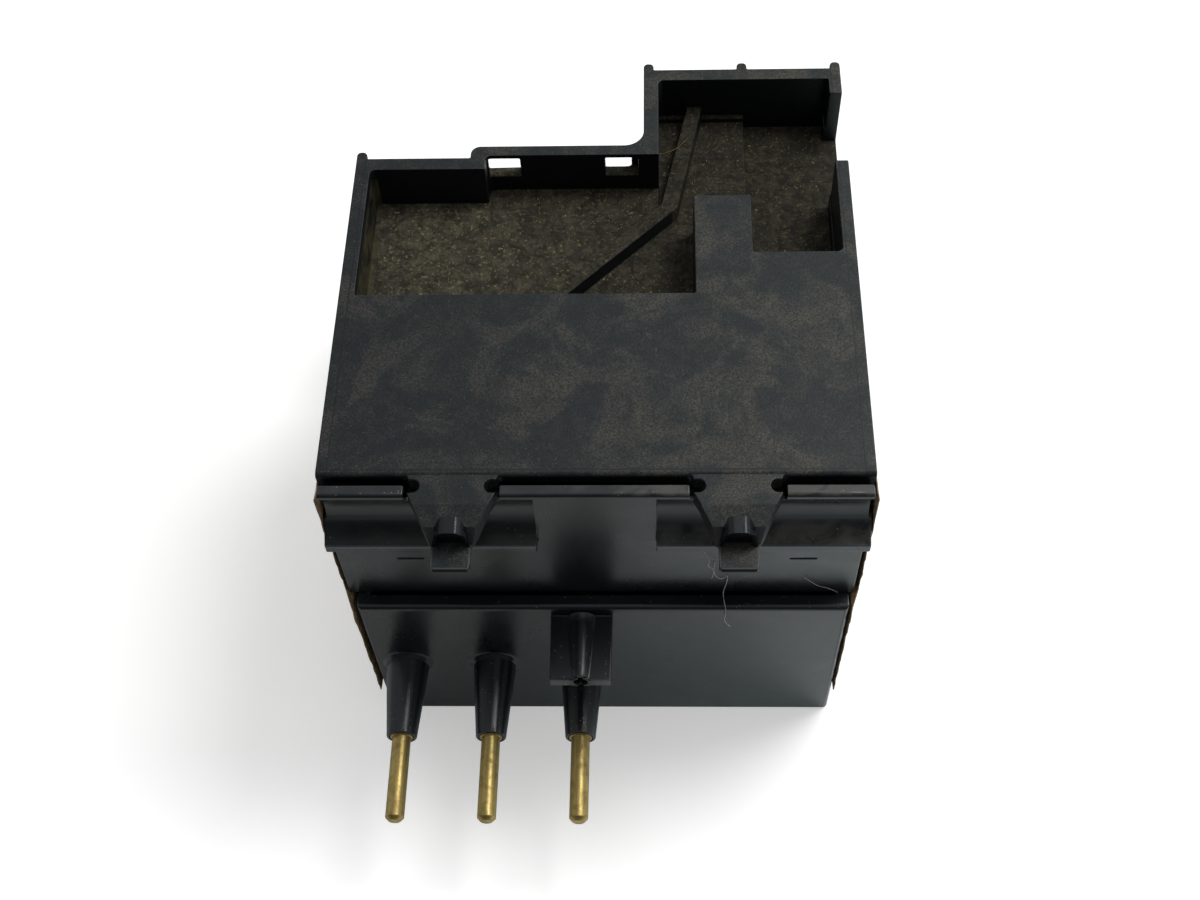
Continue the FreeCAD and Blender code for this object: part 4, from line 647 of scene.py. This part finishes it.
def worked_metal(name, colour, roughness, stretch=(1.0, 1.0, 1.0), stain=(0.1, 0.08, 0.05), age=0.5):
    """Metal with drawn or rolled lines, dull stains and small pits."""
    material, tree, shader = new_material(name)
    position = object_position(tree)
    lines = node(tree, "Mapping", None, Vector=position, Scale=stretch)
    drawn = noise(tree, lines.outputs[0], 5200.0, 3.0, 0.6)
    blotch = ramp(tree, noise(tree, position, 760.0, 5.0, 0.65, 0.7), 0.42, 0.72)
    surface = mix_colour(tree, math_node(tree, "MULTIPLY", blotch, age), colour, stain)
    surface = mix_colour(tree, ramp(tree, drawn, 0.35, 0.7), mix_colour(
        tree, 1.0, surface, (0.78, 0.76, 0.72), "MULTIPLY"), surface)
    tree.links.new(surface, shader.inputs["Base Color"])
    shader.inputs["Metallic"].default_value = 1.0
    rough = math_node(tree, "ADD", roughness, math_node(tree, "MULTIPLY", blotch, 0.2 * age))
    rough = math_node(tree, "ADD", rough, math_node(tree, "MULTIPLY", drawn, 0.08), clamp=True)
    tree.links.new(rough, shader.inputs["Roughness"])
    pits = ramp(tree, noise(tree, position, 3000.0, 2.0), 0.62, 0.74)
    height = math_node(tree, "SUBTRACT", math_node(tree, "MULTIPLY", drawn, 0.4), pits)
    tree.links.new(bump(tree, height, 0.3, 0.00002), shader.inputs["Normal"])
    return material


def clear_window_finish():
    """Clear moulded plastic with faint rubbing marks."""
    material, tree, shader = new_material("Clear Moulding")
    position = object_position(tree)
    marks = ramp(tree, noise(tree, position, 800.0, 4.0, 0.6, 1.2), 0.5, 0.75)
    shader.inputs["Base Color"].default_value = (0.9, 0.93, 0.95, 1)
    shader.inputs["Transmission Weight"].default_value = 0.92
    shader.inputs["IOR"].default_value = 1.49
    tree.links.new(math_node(tree, "ADD", 0.05, math_node(tree, "MULTIPLY", marks, 0.12)),
                   shader.inputs["Roughness"])
    return material


def fibrous(name, colour, scale, roughness=0.9):
    """Paper, crumbs and lint: rough, uneven and matt."""
    material, tree, shader = new_material(name)
    position = object_position(tree)
    fibres = noise(tree, position, scale, 5.0, 0.7, 0.8)
    shade = ramp(tree, fibres, 0.34, 0.7)
    dark = [value * 0.4 for value in colour]
    tree.links.new(mix_colour(tree, shade, dark, colour), shader.inputs["Base Color"])
    shader.inputs["Roughness"].default_value = roughness
    shader.inputs["Specular IOR Level"].default_value = 0.25
    tree.links.new(bump(tree, fibres, 0.6, 0.00006), shader.inputs["Normal"])
    return material


def build_finishes(scene):
    """Build every finish once and keep them by name."""
    mould, dust, metal = scene.relay_moulding, scene.relay_dust, scene.relay_metal
    build_groups()
    return {
        "cover": rear_cover_finish(mould, dust),
        "wall": pin_wall_finish(mould),
        "block": plain_moulding("Terminal Block Moulding", (0.012, 0.0135, 0.016), 0.42),
        "brass": worked_metal("Pin Brass", metal.brass, 0.36, (1.0, 0.08, 1.0), (0.19, 0.13, 0.05), 0.6),
        "copper": worked_metal("Bar Copper", metal.copper, 0.34, (0.1, 1.0, 1.0), (0.2, 0.1, 0.06), 0.5),
        "zinc": worked_metal("Zinc Plate", metal.zinc, 0.3, (1.0, 1.0, 1.0), (0.35, 0.34, 0.27), 0.5),
        "bimetal": worked_metal("Rolled Bimetal", (0.5, 0.46, 0.4), 0.33, (1.0, 0.1, 1.0)),
        "heater": worked_metal("Heater Ribbon", (0.3, 0.27, 0.25), 0.42, (1.0, 1.0, 0.1)),
        "spring": worked_metal("Spring Steel", (0.5, 0.5, 0.5), 0.28),
        "silver": worked_metal("Contact Silver", (0.8, 0.78, 0.73), 0.25, age=0.3),
        "natural": plain_moulding("Natural Plastic", (0.55, 0.5, 0.39), 0.45),
        "frame": plain_moulding("Frame Plastic", (0.025, 0.025, 0.028), 0.5),
        "dial": plain_moulding("Dial Plastic", (0.62, 0.62, 0.58), 0.42, 0.05),
        "reset": plain_moulding("Reset Plastic", (0.01, 0.06, 0.32), 0.35, 0.05),
        "stop": plain_moulding("Stop Plastic", (0.42, 0.012, 0.01), 0.35, 0.05),
        "flag": plain_moulding("Flag Plastic", (0.75, 0.19, 0.02), 0.45, 0.05),
        "clear": clear_window_finish(),
        "paper": fibrous("Old Paper", (0.42, 0.3, 0.17), 1600.0),
        "crumb": fibrous("Crumbs", dust.crumb, 4000.0),
        "lint": fibrous("Lint", (0.75, 0.72, 0.66), 3000.0, 0.8),
        "hair": fibrous("Hair", (0.2, 0.11, 0.04), 3000.0, 0.5),
    }


FINISHES = {}


def coat(finishes):
    """Give the CAD nodes listed under each finish that finish."""
    for finish, names in finishes.items():
        for name in names:
            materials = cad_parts[name].data.materials
            materials.clear()
            materials.append(FINISHES[finish])


# ---------------------------------------------------------------- operators
class RELAY_OT_housing(bpy.types.Operator):
    """Dress the four housing mouldings: broken edges and their finishes"""
    bl_idname = "relay.housing"
    bl_label = "Housing Mouldings"

    def execute(self, context):
        settings = context.scene.relay_moulding
        for node_name, finish in (("rear_cover", "cover"), ("main_housing", "wall"),
                                  ("front_housing", "wall"), ("terminal_block", "block")):
            dressed(node_name, node_name + "_moulding", "relay_body", FINISHES[finish],
                    settings.edge_break)
        return {"FINISHED"}


class RELAY_OT_conductors(bpy.types.Operator):
    """Finish the plug pins, heaters, bimetals, bars, strips, screws and clamps"""
    bl_idname = "relay.conductors"
    bl_label = "Current Paths and Terminals"

    def execute(self, context):
        for number in (1, 2, 3):
            dressed(f"line_pin_{number}", f"plug_pin_{number}", "relay_body",
                    FINISHES["brass"], 0.00006, 2, 30)
        coat({"copper": ("bimetal_bracket_1", "bimetal_bracket_2", "bimetal_bracket_3",
                         "load_bar_1", "load_bar_2", "load_bar_3", "no_contact_strip_front",
                         "no_contact_strip_rear", "nc_contact_strip_front",
                         "nc_contact_strip_rear", "contact_bridges"),
              "bimetal": ("bimetal_strip_1", "bimetal_strip_2", "bimetal_strip_3",
                          "compensating_bimetal"),
              "heater": ("heater_winding_1", "heater_winding_2", "heater_winding_3"),
              "zinc": ("main_terminal_screw_1", "main_terminal_screw_2", "main_terminal_screw_3",
                       "main_terminal_clamp_1", "main_terminal_clamp_2", "main_terminal_clamp_3",
                       "control_terminal_screws", "control_terminal_washers"),
              "silver": ("fixed_contact_rivets", "moving_contact_rivets")})
        return {"FINISHED"}


class RELAY_OT_mechanism(bpy.types.Operator):
    """Finish the trip mechanism and the controls on the front"""
    bl_idname = "relay.mechanism"
    bl_label = "Mechanism and Controls"

    def execute(self, context):
        coat({"natural": ("trip_slide", "differential_slide", "trip_lever", "adjusting_arm",
                          "contact_lever"),
              "frame": ("mechanism_frame",), "spring": ("reset_spring", "stop_spring"),
              "flag": ("trip_flag",)})
        for node_name, slot in (("current_dial", "dial"), ("reset_button", "reset"),
                                ("stop_button", "stop")):
            dressed(node_name, node_name + "_piece", node_name, FINISHES[slot], 0.00012)
        dressed("dial_window", "dial_window_pane", "dial_window", FINISHES["clear"], 0.0001)
        return {"FINISHED"}


class RELAY_OT_dust(bpy.types.Operator):
    """Scatter crumbs in the bays and lay the lint and the hair"""
    bl_idname = "relay.dust"
    bl_label = "Crumbs and Lint"

    def execute(self, context):
        settings = context.scene.relay_dust
        chance = random.Random(settings.seed)
        mesh = bmesh.new()
        shares = [bay[5] for bay in CRUMB_BAYS]
        spots = []
        for _ in range(settings.count):
            x0, x1, y0, y1, depth = chance.choices(CRUMB_BAYS, shares)[0][:5]
            spots.append((place(chance.uniform(x0, x1), chance.uniform(y0, y1), depth), 1.0))
        for start, end, count in CRUMB_LEDGES:
            for _ in range(count):
                y = chance.uniform(-1.0, 0.2)
                depth = RECESS_LEVEL + math.sqrt(RECESS_RADIUS ** 2 - (y + RECESS_AXIS) ** 2)
                spots.append((place(chance.uniform(start, end), y, depth + 0.02), 0.55))
        for spot, share in spots:
            long_side = chance.uniform(0.06, 0.26) * MM * (1.8 if chance.random() < 0.12 else 1) * share
            wide = long_side * chance.uniform(0.25, 0.6)
            tall = min(wide, 0.09 * MM)
            turn = chance.uniform(0, math.pi)
            along = Vector((math.cos(turn), math.sin(turn), 0)) * long_side / 2
            side = Vector((-math.sin(turn), math.cos(turn), 0)) * wide / 2
            lift = Vector((0, 0, tall))
            ring = [spot + along, spot + side * chance.uniform(0.6, 1.2),
                    spot - along, spot - side * chance.uniform(0.6, 1.2)]
            base = [mesh.verts.new(corner) for corner in ring]
            top = mesh.verts.new(spot + lift + along * chance.uniform(-0.4, 0.4))
            mesh.faces.new(base[::-1])
            for index in range(4):
                mesh.faces.new((base[index], base[(index + 1) % 4], top))
        data = bpy.data.meshes.new("bay_crumbs")
        mesh.to_mesh(data)
        mesh.free()
        crumbs = bpy.data.objects.new("bay_crumbs", data)
        context.scene.collection.objects.link(crumbs)
        settle(crumbs, "bay_crumbs", "relay_body", FINISHES["crumb"])
        for name, thickness, finish, points in FIBRES:
            fibre(name, [place(*point) for point in points], thickness, "relay_body",
                  FINISHES[finish])
        return {"FINISHED"}


class RELAY_OT_side_paper(bpy.types.Operator):
    """Blank torn paper on the two side walls"""
    bl_idname = "relay.side_paper"
    bl_label = "Side Paper"

    def execute(self, context):
        chance = random.Random(3)
        for name, wall, out in (("paper_left", MAIN_LOW[0], -1), ("paper_right", MAIN_HIGH[0], 1)):
            bpy.ops.mesh.primitive_grid_add(x_subdivisions=44, y_subdivisions=56, size=1)
            paper = bpy.context.object
            side = PAPER_THICK * MM * out
            for vertex in paper.data.vertices:
                down = 0.5 - vertex.co.x
                along = vertex.co.y + 0.5
                depth = PAPER_TOP + PAPER_HEIGHT * down
                ragged = 0.16 * math.sin(down * 31) + 0.12 * math.sin(down * 77 + 1)
                step = 0.0 if depth < WALL_STEP_DEPTH else -1.6
                near = step + 0.25 + ragged * 0.5 + chance.uniform(-0.06, 0.06)
                far = PAPER_FAR + 0.4 * math.sin(down * 19)
                y = near + (far - near) * along ** 1.6
                sunk = 0.0 if depth < WALL_STEP_DEPTH else WALL_STEP - 0.15
                x = wall / MM * MM - sunk * MM * out + side * (0.25 + 0.6 * math.exp(-(y - near) * 1.1))
                vertex.co = (x, PIN_WALL + y * MM, BACK - depth * MM)
            solid = paper.modifiers.new("Thickness", "SOLIDIFY")
            solid.thickness = 0.00008
            apply_all(paper)
            work_on(paper)
            bpy.ops.object.mode_set(mode="EDIT")
            bpy.ops.mesh.select_all(action="SELECT")
            bpy.ops.mesh.normals_make_consistent(inside=False)
            bpy.ops.object.mode_set(mode="OBJECT")
            settle(paper, name, "relay_body", FINISHES["paper"])
        return {"FINISHED"}


class RELAY_OT_stage(bpy.types.Operator):
    """Pale floor, white surroundings, one soft lamp and the camera"""
    bl_idname = "relay.stage"
    bl_label = "Studio"

    def execute(self, context):
        settings = context.scene.relay_studio
        deselect_all()
        bpy.ops.mesh.primitive_grid_add(x_subdivisions=4, y_subdivisions=4, size=3,
                                        location=(0, 0, -0.00002))
        floor = bpy.context.object
        floor.name = "pale_floor"
        material, tree, shader = new_material("Pale Floor")
        shader.inputs["Roughness"].default_value = 0.7
        position = object_position(tree)
        split = node(tree, "SeparateXYZ", None, Vector=position)
        tone = ramp(tree, noise(tree, position, 40.0, 3.0), 0.2, 0.8)
        sheet = mix_colour(tree, tone, (0.8, 0.8, 0.79), (0.84, 0.84, 0.83))
        # painted shade: the sheet darkens well in front of the relay
        surface = mix_colour(tree, ramp(tree, split.outputs[1], -0.22, -0.075), (0.07, 0.075, 0.08),
                             sheet)
        tree.links.new(surface, shader.inputs["Base Color"])
        path = tree.nodes.new("ShaderNodeLightPath")
        # the sheet glows a little, more so in front, and its mirror image more so to the right
        nearer = math_node(tree, "SUBTRACT", 0.56, math_node(tree, "MULTIPLY", ramp(
            tree, split.outputs[1], -0.045, -0.02), 0.18))
        to_right = math_node(tree, "MULTIPLY", ramp(tree, split.outputs[0], -0.03, 0.04), 0.3)
        strength = math_node(tree, "ADD", math_node(
            tree, "MULTIPLY", path.outputs["Is Camera Ray"], nearer), math_node(
                tree, "MULTIPLY", path.outputs["Is Glossy Ray"], to_right))
        tint = mix_colour(tree, path.outputs["Is Camera Ray"], (0.75, 1.0, 1.04), (1.0, 1.0, 0.99))
        glow = node(tree, "Emission", None, Color=tint, Strength=strength)
        choice = node(tree, "AddShader", None, i0=shader.outputs[0], i1=glow.outputs[0])
        output = next(item for item in tree.nodes if item.type == "OUTPUT_MATERIAL")
        tree.links.new(choice.outputs[0], output.inputs[0])
        floor.data.materials.append(material)

        world = bpy.data.worlds.new("Studio Surroundings")
        context.scene.world = world
        world.use_nodes = True
        tree = world.node_tree
        tree.nodes.clear()
        output = tree.nodes.new("ShaderNodeOutputWorld")
        path = tree.nodes.new("ShaderNodeLightPath")
        # dim towards the viewer and the left, bright behind and to the right
        split = node(tree, "SeparateXYZ", None, Vector=object_position(tree))
        height = math_node(tree, "MULTIPLY", split.outputs[2], 0.5)
        behind = math_node(tree, "ADD", 0.12, math_node(tree, "MULTIPLY", ramp(
            tree, math_node(tree, "ADD", split.outputs[1], height), -0.8, 0.7), 1.1))
        rightward = math_node(tree, "ADD", 0.7, math_node(tree, "MULTIPLY", ramp(
            tree, split.outputs[0], -0.7, 0.7), 0.6))
        strength = math_node(tree, "MULTIPLY", math_node(tree, "MULTIPLY", behind, rightward),
                             settings.sky)
        lit = node(tree, "Background", None, Color=(0.97, 0.985, 1.0, 1.0), Strength=strength)
        white = node(tree, "Background", None, Color=(1.0, 1.0, 1.0, 1.0), Strength=1.0)
        through = math_node(tree, "MAXIMUM", path.outputs["Is Camera Ray"],
                            path.outputs["Is Transmission Ray"])
        choice = node(tree, "MixShader", None, i0=through, i1=lit.outputs[0], i2=white.outputs[0])
        tree.links.new(choice.outputs[0], output.inputs[0])

        spot = (0.2, 0.14, 0.42)
        bpy.ops.object.light_add(type="AREA", location=spot)
        lamp = bpy.context.object
        lamp.name = "key_light"
        lamp.data.shape = "DISK"
        lamp.data.size = 0.2
        lamp.data.energy = settings.key
        lamp.rotation_euler = (Vector(spot) - Vector((0, 0, 0.02))).to_track_quat("Z", "Y").to_euler()

        bpy.ops.object.camera_add(location=settings.camera_place, rotation=settings.camera_turn)
        camera = bpy.context.object
        camera.name = "studio_camera"
        camera.data.sensor_fit = "HORIZONTAL"
        camera.data.sensor_width = 36
        camera.data.lens = settings.lens
        camera.data.clip_start = 0.005
        camera.data.clip_end = 10
        context.scene.camera = camera
        context.scene.view_settings.view_transform = "Standard"
        return {"FINISHED"}


class RELAY_PT_sidebar(bpy.types.Panel):
    """Sidebar panel with the relay's settings and steps"""
    bl_idname = "RELAY_PT_sidebar"
    bl_label = "Thermal Overload Relay"
    bl_space_type = "VIEW_3D"
    bl_region_type = "UI"
    bl_category = "Relay"

    def draw(self, context):
        layout = self.layout
        for group in ("relay_moulding", "relay_dust", "relay_metal", "relay_studio"):
            settings = getattr(context.scene, group)
            box = layout.box()
            for name in settings.bl_rna.properties.keys():
                if name not in ("rna_type", "name"):
                    box.prop(settings, name)
        for operator in OPERATORS:
            layout.operator(operator.bl_idname)


SETTINGS = {"relay_moulding": MouldingSettings, "relay_dust": DustSettings,
            "relay_metal": MetalSettings, "relay_studio": StudioSettings}
OPERATORS = (RELAY_OT_housing, RELAY_OT_conductors, RELAY_OT_mechanism, RELAY_OT_dust,
             RELAY_OT_side_paper, RELAY_OT_stage)


def register():
    """Register the settings, the operators and the panel."""
    for name, group in SETTINGS.items():
        bpy.utils.register_class(group)
        setattr(bpy.types.Scene, name, PointerProperty(type=group))
    for operator in OPERATORS:
        bpy.utils.register_class(operator)
    bpy.utils.register_class(RELAY_PT_sidebar)


def unregister():
    """Undo register."""
    bpy.utils.unregister_class(RELAY_PT_sidebar)
    for operator in reversed(OPERATORS):
        bpy.utils.unregister_class(operator)
    for name, group in SETTINGS.items():
        delattr(bpy.types.Scene, name)
        bpy.utils.unregister_class(group)


def main():
    """Register the add-on and run its steps in order."""
    register()
    FINISHES.update(build_finishes(bpy.context.scene))
    bpy.ops.relay.housing()
    bpy.ops.relay.conductors()
    bpy.ops.relay.mechanism()
    bpy.ops.relay.dust()
    bpy.ops.relay.side_paper()
    bpy.ops.relay.stage()


if __name__ == "__main__":
    main()
